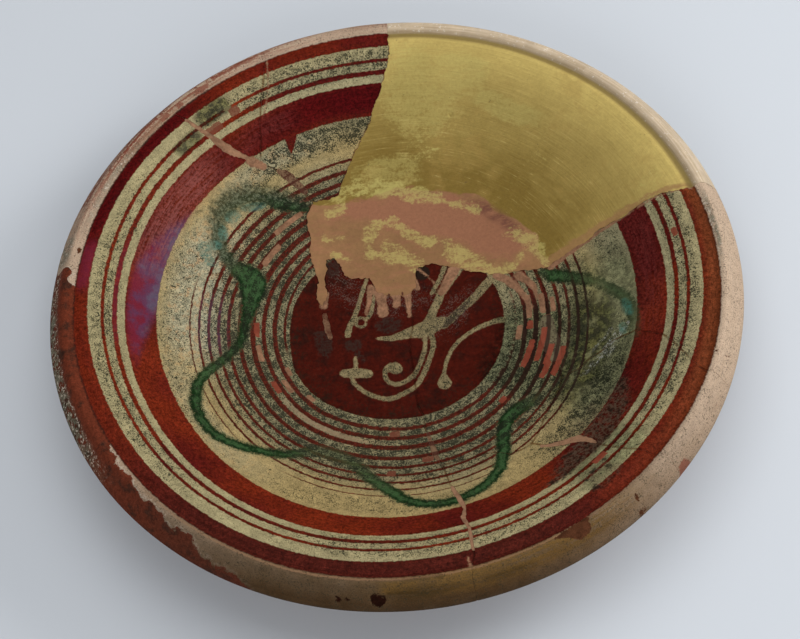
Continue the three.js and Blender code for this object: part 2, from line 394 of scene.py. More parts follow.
plan, triangles = planMesh()
centres = plan[triangles].mean(1)
pieceOf = np.full(len(triangles), "", dtype="U32")
for name, outline in outlines.items():
    pieceOf[inside(centres, outline)] = name
fillerOf = np.full(len(triangles), "", dtype="U32")
for name, outline in fillerOutlines.items():
    fillerOf[inside(centres, outline)] = name
print("plan:", len(plan), "points,", len(triangles), "triangles,", int((pieceOf == "").sum()),
      "of no piece")

# Decoration

slipRings = {
    # bearings run up to here, which lies within the infill
    "highestBearing": 45,
    "bands": [(145.2, 8.6), (134.4, 1.6), (129.2, 2.1), (118.2, 13.4)],
    # the innermost line comes first; it and the outermost one run only part of the way round
    "thinLines": [(52.8, 1.3), (97.5, 0.6), (93.5, 1.1), (89, 1.5), (84.5, 1.5), (79.9, 1.8), (74.5, 2.2),
                  (68.4, 2.6), (63, 2.2), (57.6, 2.4)],
    "shownInside": [(-300, -168)],
    "insideFade": 8,
    "shownOutside": [(-205, -138), (-132, -60)],
    "outsideFade": 12,
    # the medallion's edge, as bearing and radius
    "medallion": [(-315, 50), (-225, 50), (-208, 51), (-184, 51.3), (-172, 52.1), (-160, 53.9), (-148, 54),
                  (-136, 53.6), (-124, 52.4), (-100, 51.7), (-64, 51.4), (-28, 50.9), (-16, 50.4),
                  (45, 50)],
    # how far the floor's lines lie outwards at four radii, by bearing
    "floorRadii": (57, 70, 82, 92),
    "floorShift": [(-315, 1.2, -0.8, -2.2, -1), (-225, 1.2, -0.8, -2.2, -1), (-196, 0.8, 0, -0.5, -0.8),
                   (-160, 0.9, 0.4, 0, -0.4), (-136, 1.1, 0.9, 0.7, 0.5), (-112, -0.5, 0, 0.5, 0.8),
                   (-76, -0.5, 0, 0.4, 0.8), (-64, -0.7, -0.2, 0.1, 0.4), (-52, -0.4, -0.7, -0.9, -1.1),
                   (-40, -1, -1.3, -1.5, -1.7), (-28, -1.8, -2.1, -2.3, -2.5),
                   (-16, -2.8, -3.3, -3.6, -3.8), (-4, -2.6, -3.6, -4.4, -4.8), (8, -3, -4.4, -4.6, -4.8),
                   (45, -3, -4.4, -4.6, -4.8)],
    "lipEdge": 149.2,
    # how far the brush strayed outwards, by bearing
    "stray": [(-315, 0.2), (-270, -1), (-215, 0.8), (-158, -0.7), (-108, 1.3), (-55, -1.2), (-17, 0.3),
              (45, 0.2)],
    # on the floor only a share of that, and all of it past these radii
    "strayInside": 0.45,
    "strayGrows": (85, 112),
    # retouching on the floor leans this way, the more the farther in it lies
    "leanBearing": 140,
    "leanFrom": 85,
    "leanPer": 14,
    "leanMost": 2,
    # how far the slip's outer edge lies outwards, by bearing
    "edgeStray": [(-315, -1.2), (-274, -1.6), (-231, -1.2), (-195, -2), (-152, -1.2), (-111, 1), (-63, 0),
                  (-27, 0.6), (9, -0.7), (45, -1.2)],
    # radii at which one rule gives way to the next
    "innerLine": 56, "floorEnds": (95, 104), "outerLine": 95.5, "wall": 120, "edgeBegins": (144, 147),
    "edgeFades": (151, 158), "strayFrom": 52, "strayTo": 147,
    # radii at which the glaze's colours change
    "paleFrom": (118, 123), "linesWithin": (104, 100), "stainedWithin": (105, 101), "hueSpan": (126, 109),
    "lipLowShade": (151, 160), "lipRimShade": (155.5, 159.5), "lipLine": 150.2,
}
trail = {
    # x, y, width and strength of the green line
    "main": [(-37, 69.8, 4, 0.8), (-44, 71, 5.5, 1), (-51, 72.8, 5.5, 0.9), (-59, 75, 4.5, 0.6),
             (-68, 73, 5, 0.5), (-76, 66, 5, 0.45), (-79, 55, 5, 0.4), (-76, 42, 6, 0.6), (-67, 34, 12, 1),
             (-66.5, 28, 12, 1), (-68.5, 19, 7, 1), (-71.5, 9, 4.5, 1), (-74, 0, 4.2, 0.9),
             (-79.6, -8, 4.4, 0.8), (-86.5, -15, 4.6, 0.8), (-92.5, -21.6, 4.8, 0.9), (-95.5, -29, 5, 1),
             (-96.2, -38, 5, 1), (-94, -47, 5, 1), (-89, -55, 5, 1), (-81, -60.5, 5, 1), (-72, -64, 4.6, 1),
             (-63, -66.3, 4.6, 0.9), (-55, -67, 4.8, 0.8), (-46, -65.5, 6, 0.5), (-36, -69, 7, 0.5),
             (-27.5, -76, 6.5, 0.6), (-20.5, -86, 6, 0.75), (-12, -95.5, 6, 0.9), (-4, -102.7, 5.4, 1),
             (5, -106, 5, 1), (14, -106, 5, 1), (23, -102.7, 5, 1), (31.5, -97, 5.2, 1),
             (37, -89.3, 5.6, 1), (39.3, -80.4, 6, 1), (40.4, -71.6, 6.2, 1), (43, -62.7, 7, 1),
             (48, -58, 7.5, 0.9), (56, -54.5, 6, 0.6), (64, -50, 5, 0.25)],
    "right": [(71.5, 15, 5, 0.7), (76, 11.8, 6.5, 0.9), (83, 8.3, 6.5, 0.8), (92, 3, 5.5, 0.6),
              (100, -5, 5, 0.6), (106, -14, 5, 0.6), (107.6, -25, 5, 0.5), (106, -34, 5, 0.3)],
    "raised": 0.35,
    "raisedEdge": (-2.2, 0.4),
    # growth beside the line, as x, y and width
    "moss": [(-38, 71.5, 6), (-46, 74.5, 9), (-56, 77, 12), (-66, 76, 13), (-75, 71, 11), (-80, 62, 10),
             (-80, 52, 9), (-75.5, 43, 9)],
}
motif = {
    # pale strokes on the medallion, as x, y and width
    "strokes": [
        [(-10.4, -5.4, 2.2), (-3.4, -6.2, 3.6), (4, -5, 6), (12, -3.8, 9), (17, -2, 8), (22, -0.5, 5)],
        [(15, 0, 6), (16.6, 4.2, 4.4), (20.4, 11.1, 4.2), (22.8, 15.8, 4.4), (29.7, 24.2, 4.6),
         (33.6, 28.1, 4.6)],
        [(17.8, 15.8, 2.2), (22.8, 23.4, 2.4), (25.8, 29.6, 2.6)],
        [(21, -2.5, 5), (23.6, -1.2, 4.2), (31.3, 5, 4.2), (38.2, 10.4, 4.4), (45.1, 17.3, 4.6),
         (50.4, 21.1, 4.6)],
        [(15.1, -8, 2.8), (15.1, -13.6, 2.7), (12.8, -19.7, 2.7), (9.7, -26.6, 2.8), (5.1, -33.6, 2.8),
         (-0.3, -37, 2.8), (-7.3, -39.3, 2.8), (-12.7, -38.2, 2.8), (-18.8, -34.3, 2.6),
         (-23.4, -28.9, 2.4), (-24.6, -24.3, 2.4)],
        [(-28, -22.2, 4.6), (-22.3, -22.8, 5.8), (-16.6, -24, 4.6)],
        [(-22.3, -22.8, 2.4), (-21.9, -14.3, 2.2)],
        [(11.6, -8, 2.4), (11.2, -13.6, 2.4), (8.9, -19.7, 2.4), (5.8, -25.9, 2.5), (2, -29.7, 2.6),
         (-3.4, -32, 2.6), (-7.3, -30.5, 2.6), (-9.2, -26.6, 2.4), (-8, -22, 2.4), (-5.4, -21, 3)],
        [(-4.2, -22.8, 6.4), (-3.6, -23.2, 6.4)],
        [(49.7, -5.1, 3.4), (43.6, -5.4, 3), (35.1, -8.1, 2.6), (27.4, -12.8, 2.3), (22.8, -18.2, 2.2),
         (19.7, -24.3, 2.1), (18.2, -29.7, 2.2), (17.8, -33.5, 5.6), (17.8, -35, 7)],
        [(-11.9, 28.8, 2), (-14.2, 23.4, 2.3), (-16.5, 17.3, 2.4), (-18.8, 11.1, 2.6), (-22.7, 3.4, 3),
         (-24.2, -1.2, 3.4)],
        [(-8, 26.5, 2), (-10.3, 15.7, 2.2), (-11.9, 9.6, 2.2), (-14.2, 6.5, 2.2)],
        [(-19.6, 3.6, 1.6), (-18.6, 7.2, 1.6), (-15.6, 6.6, 1.6), (-15, 3.4, 1.6), (-17.6, 2.2, 1.6),
         (-19.6, 3.6, 1.6)],
    ],
    "raised": 0.25,
    "raisedEdge": (-1.2, 0.3),
}
# soft patches by bearing (from, to), radius (from, to), strength and slant in degrees to a millimetre
patches = {
    "specks": [(-480, 170, 32, 106, 1.5), (-300, -215, 94, 116, 1.35), (-240, -120, 90, 118, 0.95),
               (-320, -215, 122, 145, 1.25), (-240, -110, 122, 145, 1.1), (-135, -40, 122, 145, 1.05),
               (-75, 55, 122, 145, 1.15), (-75, 0, 92, 116, 1.4), (-10, 55, 92, 116, 0.9),
               (-150, -50, 96, 114, 0.9), (-70, 0, 70, 122, 0.8)],
    "grime": [(-480, 170, 24, 106, 0.9), (-305, -222, 92, 146, 0.85), (-75, 55, 84, 146, 0.9),
              (-240, -130, 94, 146, 0.25)],
    "patina": [(-52, 10, 74, 108, 0.95), (-46, -8, 98, 116, 0.5), (-16, 10, 96, 113, 0.35),
               (-243, -230, 130, 144, 1.1), (-234, -222, 128, 138, 1)],
    "veil": [(-60, 26, 70, 124, 1), (-66, -36, 112, 148, 0.8), (-60, 14, 34, 90, 1)],
    "stain": [(-68, -26, 107, 129, 1, -0.8), (-62, -48, 122, 149, 0.6), (-58, -30, 100, 116, 0.5)],
    "clean": [(-158, -96, 63.4, 68.6, 1)],
    "iris": [(-218, -172, 104, 128, 1.2, 1.4), (-212, -166, 126, 132, 0.6), (-202, -184, 139, 149, 0.8),
             (-205, -166, 74, 100, 0.5)],
    "haze": [(-238, -190, 109, 128, 0.8), (-256, -230, 112, 126, 0.2), (-28, 26, 110, 127, 0.15)],
    "rust": [(-62, 60, 140, 156, 1)],
    "pearl": [(-232, -160, 78, 114, 1), (-200, -120, 96, 114, 0.4), (-262, -215, 98, 113, 0.5)],
    "crimson": [(-250, -180, 138, 151, 1), (-320, -230, 138, 151, 0.3), (-300, -226, 109, 127, 0.9)],
    "lineGain": [(-272, -192, 50, 100, 0.6)],
    "maroon": [(-170, -34, 134, 158, 1.1), (-140, -80, 127, 137, 0.6), (-215, -200, 139, 150, 0.5)],
}
# square-ended retouching along the rings, by bearing (from, to) and radius (from, to)
retouch = {
    "retouch": [(-12.5, -8.3, 62.3, 65), (-32, -18, 64.2, 66.8), (-28, -12, 68.8, 71.3),
                (-28.7, -19.5, 73.3, 75.8), (-34.5, -27, 74.6, 77.2), (-32.5, -20.5, 78.7, 81.4),
                (-53.8, -50.4, 128.4, 131.4), (3, 5, 131, 133.5), (-188.5, -181.4, 64.2, 67),
                (-159, -152.5, 64, 66.6), (-51, -47.5, 66.5, 69)],
    "brown": [(-236.5, -232.5, 128.4, 132), (-241.6, -239.2, 130, 134), (-244, -242, 94, 98),
              (-88, -84, 76, 79), (-99.5, -96.8, 82, 85.4), (-100, -95.5, 59, 62.5)],
    "tanLoss": [(-7, 5, 62, 64.6), (-5.8, 3.7, 67.9, 70.6), (-5.6, 0.8, 72.7, 75), (-18, -10, 57.7, 60.4),
                (-177.8, -169.5, 64.2, 66.8), (-240, -227, 75.8, 78.6), (-225, -214, 69.8, 73),
                (-158, -150, 59, 61.6), (-164, -158.5, 54.6, 57), (-145, -140, 54.6, 57)],
}
# drips off the wide band, and pale scratches on the right, as x, y and width
redSpurs = [[(-40, 105, 6.5), (-40.3, 100, 3.5), (-40.7, 96.6, 1)]]
scratches = [[(80, -48, 2), (90, -40, 3.5), (100, -29, 3)], [(93, -42, 1.5), (104, -27, 3)],
             [(84, -38, 1.5), (97, -27, 2.5)]]
# plaster smeared over the painted floor, as x, y and width
tanSmears = [
    [(-6.5, 21, 7), (-6.2, 14, 4.6), (-6.4, 8.5, 5.6)], [(0.8, 19, 6), (0.9, 15, 3.6), (0.6, 12, 4)],
    [(6.6, 20, 4), (6.2, 11, 2.8), (6, 4.6, 1.8)], [(-10.6, 24, 3.4), (-12.4, 15, 2.4), (-14.6, 9, 1.6)],
    [(-44.5, 152, 0.5), (-46.5, 140.1, 0.9), (-47.4, 126.6, 0.9), (-49.6, 117.6, 0.9), (-52.4, 111.9, 0.3)],
    [(-33.2, 23, 5), (-34, 16.5, 4)], [(10, 24, 4), (11.4, 20, 3)],
    [(50, 20, 5), (56, 14, 4), (60.5, 6, 3), (63, -2, 2.5)], [(60, 17, 5), (65.5, 10, 3), (67, 2, 2)],
    [(-60, 92.6, 5), (-55, 90.6, 4)],
    [(144, 29.6, 0.8), (125, 30.2, 1.2), (105, 27.6, 1.8), (88, 22.2, 2.4), (75, 16.6, 3)],
    [(16.5, -157, 4.5), (17, -150, 2.4), (16, -144, 1.2)], [(30, 27, 6), (22.5, 15.5, 4)],
    [(12.5, 31, 1.6), (17, 26, 1.2), (20, 21, 1)],
]
# dark blotches and grey dust on the medallion, a hole and blue-green spots, as x, y, two radii and slant
blots = [(-4.2, 1.1, 7.5, 5, 0), (-27.7, 37.3, 5, 7, 20), (-22.3, -7.3, 5, 4, 0), (-20, -13, 2, 5, 25),
         (28, 2, 2.4, 12, -48), (-36, -4, 5, 9, 10)]
dustPatches = [(2, 14, 22, 10, 0), (-22, 24, 10, 14, 20), (28, 4, 8, 20, -40)]
holes = [(14.6, 28.2, 4.2, 4.4, 0)]
tealSpots = [(-86.7, 47.8, 4.5, 6.5, 0), (-81.9, 50.8, 5, 4, 0), (-85, 41.9, 4, 4.5, 0),
             (-62, 70.5, 9, 3.2, 12), (-72, 65.5, 6, 4.5, 30), (-77.5, 57, 3.5, 6, 0),
             (105.6, -18.6, 3.5, 8, 10), (102, -29, 3, 5, 0)]


def bearingOf(points, highest):
    # degrees from +X towards +Y, over one turn up to the highest
    angle = np.degrees(np.arctan2(points[:, 1], points[:, 0]))
    return np.where(angle > highest, angle - 360, angle)


# strokes are looked for so far outside their own box, and count as far away beyond
strokeReach = 12
farAway = 99.0
# soft edges as shares of a patch and of a blot's radius
patchEdge = 0.35
blotEdge = (0.5, 1.25)
# random heights lie on a table of so many cells, read from far enough to stay above zero
latticeCells = 64
latticeStart = 200


def byBearing(bearing, table):
    return np.interp(bearing, *zip(*table))


def strokeField(points, stroke, smooth=4):
    # distance outside a stroke's edge, negative within it, and the stroke's last column there
    line = smoothLine(stroke, smooth)
    best = np.full(len(points), farAway)
    carried = np.zeros(len(points))
    lowest = line[:, :2].min(0) - strokeReach
    highest = line[:, :2].max(0) + strokeReach
    near = np.flatnonzero(((points > lowest) & (points < highest)).all(1))
    p = points[near]
    bestNear, carriedNear = best[near], carried[near]
    for a, b in zip(line, line[1:]):
        run = b[:2] - a[:2]
        t = np.clip(((p - a[:2]) @ run) / (run @ run + tiny), 0, 1)
        away = np.linalg.norm(p - a[:2] - t[:, None] * run, axis=1) - (a[2] + t * (b[2] - a[2])) / 2
        closer = away < bestNear
        bestNear = np.where(closer, away, bestNear)
        carriedNear = np.where(closer, a[-1] + t * (b[-1] - a[-1]), carriedNear)
    best[near], carried[near] = bestNear, carriedNear
    return best, carried


def strokesField(strokes):
    return np.min([strokeField(plan, stroke)[0] for stroke in strokes], axis=0)


def lattice(points, size, seed):
    # smooth random heights, about -1 to 1, on a grid of the given size
    table = np.random.default_rng(seed).uniform(-1, 1, (latticeCells, latticeCells))
    q = points / size + latticeStart
    cell = np.floor(q).astype(int)
    f = q - cell
    f = f * f * (3 - 2 * f)
    i, j = cell[:, 0] % latticeCells, cell[:, 1] % latticeCells
    i1, j1 = (i + 1) % latticeCells, (j + 1) % latticeCells
    low = table[i, j] * (1 - f[:, 0]) + table[i1, j] * f[:, 0]
    high = table[i, j1] * (1 - f[:, 0]) + table[i1, j1] * f[:, 0]
    return low * (1 - f[:, 1]) + high * f[:, 1]


def sway(height, size, seed):
    return height * lattice(plan, size, seed)


def patchField(bearing, radius, rows):
    total = np.zeros(len(radius))
    for t0, t1, r0, r1, strength, *slant in rows:
        turned = bearing - sum(slant) * (radius - (r0 + r1) / 2)
        softTurn, softOut = patchEdge * (t1 - t0), patchEdge * (r1 - r0)
        across = ease(turned, t0, t0 + softTurn) * (1 - ease(turned, t1 - softTurn, t1))
        out = ease(radius, r0, r0 + softOut) * (1 - ease(radius, r1 - softOut, r1))
        total = np.maximum(total, strength * across * out)
    return total


def boxField(bearing, radius, rows):
    # distance outside square-ended patches, negative within
    total = np.full(len(radius), farAway)
    for t0, t1, r0, r1 in rows:
        along = np.radians(np.abs(bearing - (t0 + t1) / 2) - (t1 - t0) / 2) * radius
        out = np.abs(radius - (r0 + r1) / 2) - (r1 - r0) / 2
        total = np.minimum(total, np.maximum(along, out))
    return total


def blotField(points, rows):
    total = np.zeros(len(points))
    for x, y, a, b, slant in rows:
        c, s = math.cos(math.radians(slant)), math.sin(math.radians(slant))
        d = points - (x, y)
        u, v = (d[:, 0] * c + d[:, 1] * s) / a, (d[:, 1] * c - d[:, 0] * s) / b
        total = np.maximum(total, 1 - ease(np.hypot(u, v), *blotEdge))
    return total


lipMarks = {
    # share of the lip's width, from outside, that is worn to the red clay, by bearing
    "worn": [(-315, -0.2), (-199, -0.2), (-192, 0.3), (-187, 1.15), (-156, 1.15), (-152, 0.9), (-148, 0.7),
             (-140, 0.57), (-134, 0.47), (-130.6, 0.38), (-127, 0.3), (-122.6, 0.15), (-119, 0.02),
             (-115, -0.2), (45, -0.2)],
    # how dirty the lip is, by bearing, and how much painted shade darkens it; both are highest at the front
    "dirt": [(-315, 0.3), (-260, 0.25), (-205, 0.2), (-150, 0.45), (-135, 0.7), (-115, 0.95), (-82, 0.95),
             (-66, 0.75), (-48, 0.46), (-32, 0.2), (-20, 0), (45, 0)],
    # flaked places as x, y and width
    "flakes": [[(53.5, -141.4, 0.8), (58, -139.8, 3), (63, -138.6, 6), (66, -137, 7)],
               [(66.5, -136, 4), (70, -131.6, 1)], [(91.2, -125.4, 1.8), (91.6, -125.8, 1.8)],
               [(92, -130.2, 1.2), (94.5, -128.6, 1)], [(-41, -152.4, 1.8), (-39.6, -152.8, 1.4)],
               [(-37, -153.4, 1.3), (-36.4, -153.5, 1)],
               [(-25.5, -155, 3), (-23.3, -155.8, 3.6), (-20.5, -155.9, 1)],
               [(132, -55, 0.8), (136.4, -58.7, 1), (138.5, -60, 0.6)],
               [(142, -62, 0.8), (143.5, -61.5, 0.8)], [(-143.5, 40.5, 2), (-143, 41.5, 2)]],
    "flakeDepth": 0.7,
    "wornDepth": 0.35,
    # how the worn edge sways, in degrees and in millimetres, with the sway's size and seed
    "wornTurn": (3, 6, 3),
    "wornEdge": (1.5, 4, 5),
    # painted shade in the groove between the band and the lip, by bearing
    "crease": [(-315, 0.1), (-262, 0.3), (-235, 0.95), (-155, 0.9), (-135, 0.2), (-110, 0), (-60, 0),
               (-30, 0.5), (45, 0.6)],
    "darkStreaks": [[(-19, -154.6, 1.5), (-8, -155.6, 3.4), (2.5, -155.8, 2.6), (12, -155, 0.8)],
                    [(22, -154, 0.8), (34, -152, 1.6), (44, -149.6, 0.8)],
                    [(-12, -151, 0.8), (4, -151.4, 1.4)]],
    "pinkSpots": [(-80, 126.5, 5, 1.7, 32), (-91, 118.6, 2.6, 1.4, 38), (-98.6, 112.3, 4, 1.2, 42),
                  (115.3, -111, 4.8, 2.6, 43), (-136, 76, 3, 1.6, 60)],
    "patches": {
        "lipSoot": [(-199, -146, 154, 163, 1), (-225, -196, 147.5, 151, 0.6), (-200, -192, 151, 161, 1),
                    (-6, 12, 148.5, 152, 1)],
        "lipOchre": [(-106, -44, 147, 160, 1), (-100, -90, 151, 157, 1.3), (-250, -206, 147, 152, 0.5)],
        "lipPink": [(-272, -190, 147, 162, 1.4), (-305, -258, 149, 158, 0.7), (-240, -230, 151, 162, 2),
                    (-218, -203, 151, 162, 2)],
    },
}
# sways are given as height, size and seed
relief = {
    "turning": 0.06, "turningPitch": 8.5, "turningSway": (1.2, 60, 31), "lumps": (0.25, 38, 32),
    "lipLumps": (0.22, 17, 33), "lipFrom": (146, 149), "breakDrop": 0.12, "breakWidth": 0.5,
    "breakSway": (1, 3, 34), "slip": 0.08, "slipEdge": (-0.5, 0.5), "wornEdge": (-0.5, 0.7),
    "flakeEdge": (-0.5, 0.5), "under": (0.15, 24, 51), "underFrom": (1, 6),
}
infillForm = {
    "highestBearing": 180,
    # smears of yellow on the wall, as x, y, two radii and an angle
    "smears": [(26, 117, 24, 26, 20), (46, 122, 20, 10, -20), (4, 82, 22, 12, 10), (66, 100, 26, 6, -35)],
    "sunk": 0.2, "patting": (0.2, 15, 41), "scoring": 0.04, "scoringPitch": 2.3, "scoringTurn": 9,
    "scoringSeed": 42,
    # a pit's x, y, size and depth
    "pit": (39.2, 104.7, 0.9, 1.4), "pitEdge": (0.5, 1.2),
    "lipFrom": (145, 148), "lipCalm": 0.6, "lipSunk": 0.15,
    "floorSway": (2.5, 9, 21), "floorFade": (-2, 2), "pinkSway": (2.2, 7, 22), "dabSway": (2, 5, 23),
    "dabFade": (-1, 6),
    # where the wall's ochre ends, as bearing and radius
    "floorEdge": [(0, 78), (55, 78), (70, 75), (104, 73.5), (116, 80)],
    # the pink paint's run, and bare gaps between the drips, as x, y and width
    "pink": [(-26, 63, 5), (-14, 66, 9), (-2, 65, 13), (12, 62, 19), (26, 57, 23), (40, 49.5, 20),
             (51, 41, 17), (60, 34, 10)],
    "gaps": [[(-2.8, 15.5, 1.6), (-2.4, 19, 0.6)], [(4, 15, 1.6), (4.2, 19, 0.6)],
             [(-9.2, 17, 1.8), (-8, 22, 0.6)]],
    "fringe": [(143, 31.5, 1.6), (125, 32.4, 3), (105, 30, 4), (88, 24.6, 4.5), (72, 18.6, 5)],
    # painted shadow along the pink's outer edge, as bearing (from, to), radius (from, to) and strength
    "darkPink": [(26, 62, 70, 79, 1.4)],
    "yellow": [[(-24, 76, 4), (-14, 77, 7), (-2, 77, 8), (10, 74, 8), (22, 69, 6), (33, 63, 4),
                (44.5, 57.6, 3)], [(-26, 66, 3), (-19, 69, 4)],
               [(-4, 58, 4), (4, 58, 5), (11.7, 52, 5), (19.7, 44.6, 4)], [(-7.7, 54, 5), (-8, 46, 5)],
               [(-8, 42, 4), (2, 39, 7), (10, 36, 6), (15, 31, 4)], [(-2, 46, 3), (8, 42, 4)],
               [(-28.7, 52, 3), (-20.7, 53.4, 4)], [(-27, 44, 2), (-20, 42, 2)],
               [(59.3, 41.5, 5), (69.6, 32, 6), (73.1, 20.5, 4)],
               [(29.2, 38.9, 7), (38.2, 29.8, 8), (51, 21.3, 6), (61.9, 26, 4)]],
    "yellowPatches": [(70, 100, 126, 146, 0.8), (66, 82, 84, 104, 0.85), (36, 50, 98, 114, 0.7),
                      (5, 26, 118, 145, 0.8)],
}
# fields that are each drawn from one table
strokeTables = {
    "motif": motif["strokes"], "smear": tanSmears, "spur": redSpurs, "scratch": scratches,
    "moss": [trail["moss"]], "flake": lipMarks["flakes"], "lipStreak": lipMarks["darkStreaks"],
    "fringe": [infillForm["fringe"]], "dripGap": infillForm["gaps"],
}
blotTables = {
    "blot": blots, "hole": holes, "dust": dustPatches, "teal": tealSpots, "lipSpot": lipMarks["pinkSpots"],
    "yellowed": infillForm["smears"],
}


def shownArcs(bearing, arcs, fade):
    return np.max([ease(bearing, a, a + fade) * (1 - ease(bearing, b - fade, b)) for a, b in arcs], axis=0)


def slipRadii(radius, bearing):
    # radii at which the rings would lie if they ran true, for the rings and for the retouching along them
    rings = slipRings
    inner = rings["strayInside"]
    wander = byBearing(bearing, rings["stray"]) * (inner + (1 - inner) * ease(radius, *rings["strayGrows"]))
    lean = np.clip((rings["leanFrom"] - radius) / rings["leanPer"], 0, rings["leanMost"])
    lean *= np.cos(np.radians(bearing - rings["leanBearing"]))
    marked = radius - wander * (radius > rings["strayFrom"]) - lean
    marked = np.where(radius > rings["strayTo"], radius, marked)
    table = np.array(rings["floorShift"])
    shifts = np.stack([np.interp(bearing, table[:, 0], table[:, k]) for k in range(1, table.shape[1])], 1)
    stops = np.array(rings["floorRadii"])
    at = np.clip(radius, stops[0], stops[-1])
    cell = np.clip(np.searchsorted(stops, at) - 1, 0, len(stops) - 2)
    each = np.arange(len(radius))
    share = (at - stops[cell]) / (stops[cell + 1] - stops[cell])
    shift = shifts[each, cell] + share * (shifts[each, cell + 1] - shifts[each, cell])
    onFloor = 1 - ease(radius, *rings["floorEnds"])
    onWall = onFloor * (radius - shift) + (1 - onFloor) * marked
    atEdge = ease(radius, *rings["edgeBegins"])
    stray = byBearing(bearing, rings["edgeStray"]) * (1 - ease(radius, *rings["edgeFades"]))
    nearLip = radius - (1 - atEdge) * wander - atEdge * stray
    return np.where(radius > rings["wall"], nearLip, onWall), marked


def surfaceFields():
    # everything that varies over the painted face, for each point of the plan
    radius = np.hypot(plan[:, 0], plan[:, 1])
    bearing = bearingOf(plan, slipRings["highestBearing"])
    slipRadius, marked = slipRadii(radius, bearing)
    f = {"slipRadius": slipRadius}
    f["medallion"] = radius - byBearing(bearing, slipRings["medallion"])
    shownInside = shownArcs(bearing, slipRings["shownInside"], slipRings["insideFade"])
    shownOutside = shownArcs(bearing, slipRings["shownOutside"], slipRings["outsideFade"])
    f["lineShown"] = np.where(radius < slipRings["innerLine"], shownInside,
                              np.where(slipRadius > slipRings["outerLine"], shownOutside, 1))
    main, mainFade = strokeField(plan, trail["main"])
    right, rightFade = strokeField(plan, trail["right"])
    f["trail"] = np.minimum(main, right)
    f["trailFade"] = np.where(main < right, mainFade, rightFade)
    for name, rows in retouch.items():
        f[name] = boxField(bearing, marked, rows)
    for name, strokes in strokeTables.items():
        f[name] = strokesField(strokes)
    for name, rows in {**patches, **lipMarks["patches"]}.items():
        f[name] = patchField(bearing, radius, rows)
    for name, rows in blotTables.items():
        f[name] = blotField(plan, rows)
    f["breakAway"] = np.min([strokeField(plan, np.column_stack([line, np.zeros(len(line))]), 1)[0]
                             for line in lines.values()], axis=0)
    share = byBearing(bearing + sway(*lipMarks["wornTurn"]), lipMarks["worn"])
    fromRim = section["rimRadius"] - radius
    f["worn"] = share * section["lipWidth"] - fromRim + sway(*lipMarks["wornEdge"])
    f["lipDirt"] = byBearing(bearing, lipMarks["dirt"])
    f["lipCrease"] = byBearing(bearing, lipMarks["crease"])
    f["sweep"] = np.radians(bearing)
    form = infillForm
    onInfill = bearingOf(plan, form["highestBearing"])
    past = radius - byBearing(onInfill, form["floorEdge"]) + sway(*form["floorSway"])
    f["floorZone"] = 1 - ease(past, *form["floorFade"])
    f["pink"] = strokesField([form["pink"]]) + sway(*form["pinkSway"])
    f["darkPink"] = patchField(onInfill, radius, form["darkPink"])
    dabs = 1 - ease(strokesField(form["yellow"]) + sway(*form["dabSway"]), *form["dabFade"])
    f["yellow"] = np.maximum(patchField(onInfill, radius, form["yellowPatches"]), dabs)
    return f


fields = surfaceFields()
radiusOf = np.hypot(plan[:, 0], plan[:, 1])
innerHeight = np.interp(radiusOf, upperLine[:, 0], upperLine[:, 1])
outerHeight = np.interp(radiusOf, lowerLine[:, 0], lowerLine[:, 1])


def sherdRelief():
    r = relief
    onLip = ease(radiusOf, *r["lipFrom"])
    height = r["turning"] * np.sin(2 * math.pi * radiusOf / r["turningPitch"] + sway(*r["turningSway"]))
    height += sway(*r["lumps"])
    height *= 1 - onLip
    height += onLip * (sway(*r["lipLumps"]) - r["lipLumps"][0])
    height += trail["raised"] * (1 - ease(fields["trail"], *trail["raisedEdge"])) * fields["trailFade"]
    height += motif["raised"] * (1 - ease(fields["motif"], *motif["raisedEdge"]))
    for centre, width in slipRings["bands"] + slipRings["thinLines"]:
        away = np.abs(fields["slipRadius"] - centre) - width / 2
        height += r["slip"] * (1 - ease(away, *r["slipEdge"])) * (1 - onLip)
    height -= lipMarks["wornDepth"] * ease(fields["worn"], *r["wornEdge"]) * onLip
    height -= lipMarks["flakeDepth"] * (1 - ease(fields["flake"], *r["flakeEdge"]))
    sunk = 1 - ease(fields["breakAway"], 0, r["breakWidth"])
    height -= r["breakDrop"] * sunk * (1 + sway(*r["breakSway"]))
    return height


def infillRelief():
    form = infillForm
    height = sway(*form["patting"]) - form["sunk"]
    scoring = np.stack([radiusOf / form["scoringPitch"], fields["sweep"] * form["scoringTurn"]], 1)
    height += form["scoring"] * lattice(scoring, 1, form["scoringSeed"])
    x, y, size, depth = form["pit"]
    height -= depth * (1 - ease(np.hypot(plan[:, 0] - x, plan[:, 1] - y) / size, *form["pitEdge"]))
    onLip = ease(radiusOf, *form["lipFrom"])
    return height * (1 - form["lipCalm"] * onLip) - form["lipSunk"] * onLip


sherdTop = innerHeight + sherdRelief()
infillTop = innerHeight + infillRelief()
hollows = relief["under"][0] + sway(*relief["under"])
underside = outerHeight + hollows * ease(outerHeight, *relief["underFrom"])
print("surface fields:", ", ".join(fields))

# Shader building blocks


class Value:
    # an output socket that can be added and multiplied like a number

    def __init__(self, socket):
        self.socket = socket

    def __add__(self, other):
        return calc("ADD", self, other)

    def __radd__(self, other):
        return calc("ADD", other, self)

    def __sub__(self, other):
        return calc("SUBTRACT", self, other)

    def __rsub__(self, other):
        return calc("SUBTRACT", other, self)

    def __mul__(self, other):
        return calc("MULTIPLY", self, other)

    def __abs__(self):
        return calc("ABSOLUTE", self)


def addNode(tree, kind, inputs, **settings):
    made = tree.nodes.new(kind)
    for name, value in settings.items():
        setattr(made, name, value)
    for key, value in inputs.items():
        if isinstance(value, Value):
            tree.links.new(value.socket, made.inputs[key])
        else:
            made.inputs[key].default_value = value
    return made


def put(kind, inputs, output=0, **settings):
    # a node in the tree that its inputs come from
    tree = next(value.socket.id_data for value in inputs.values() if isinstance(value, Value))
    return Value(addNode(tree, kind, inputs, **settings).outputs[output])


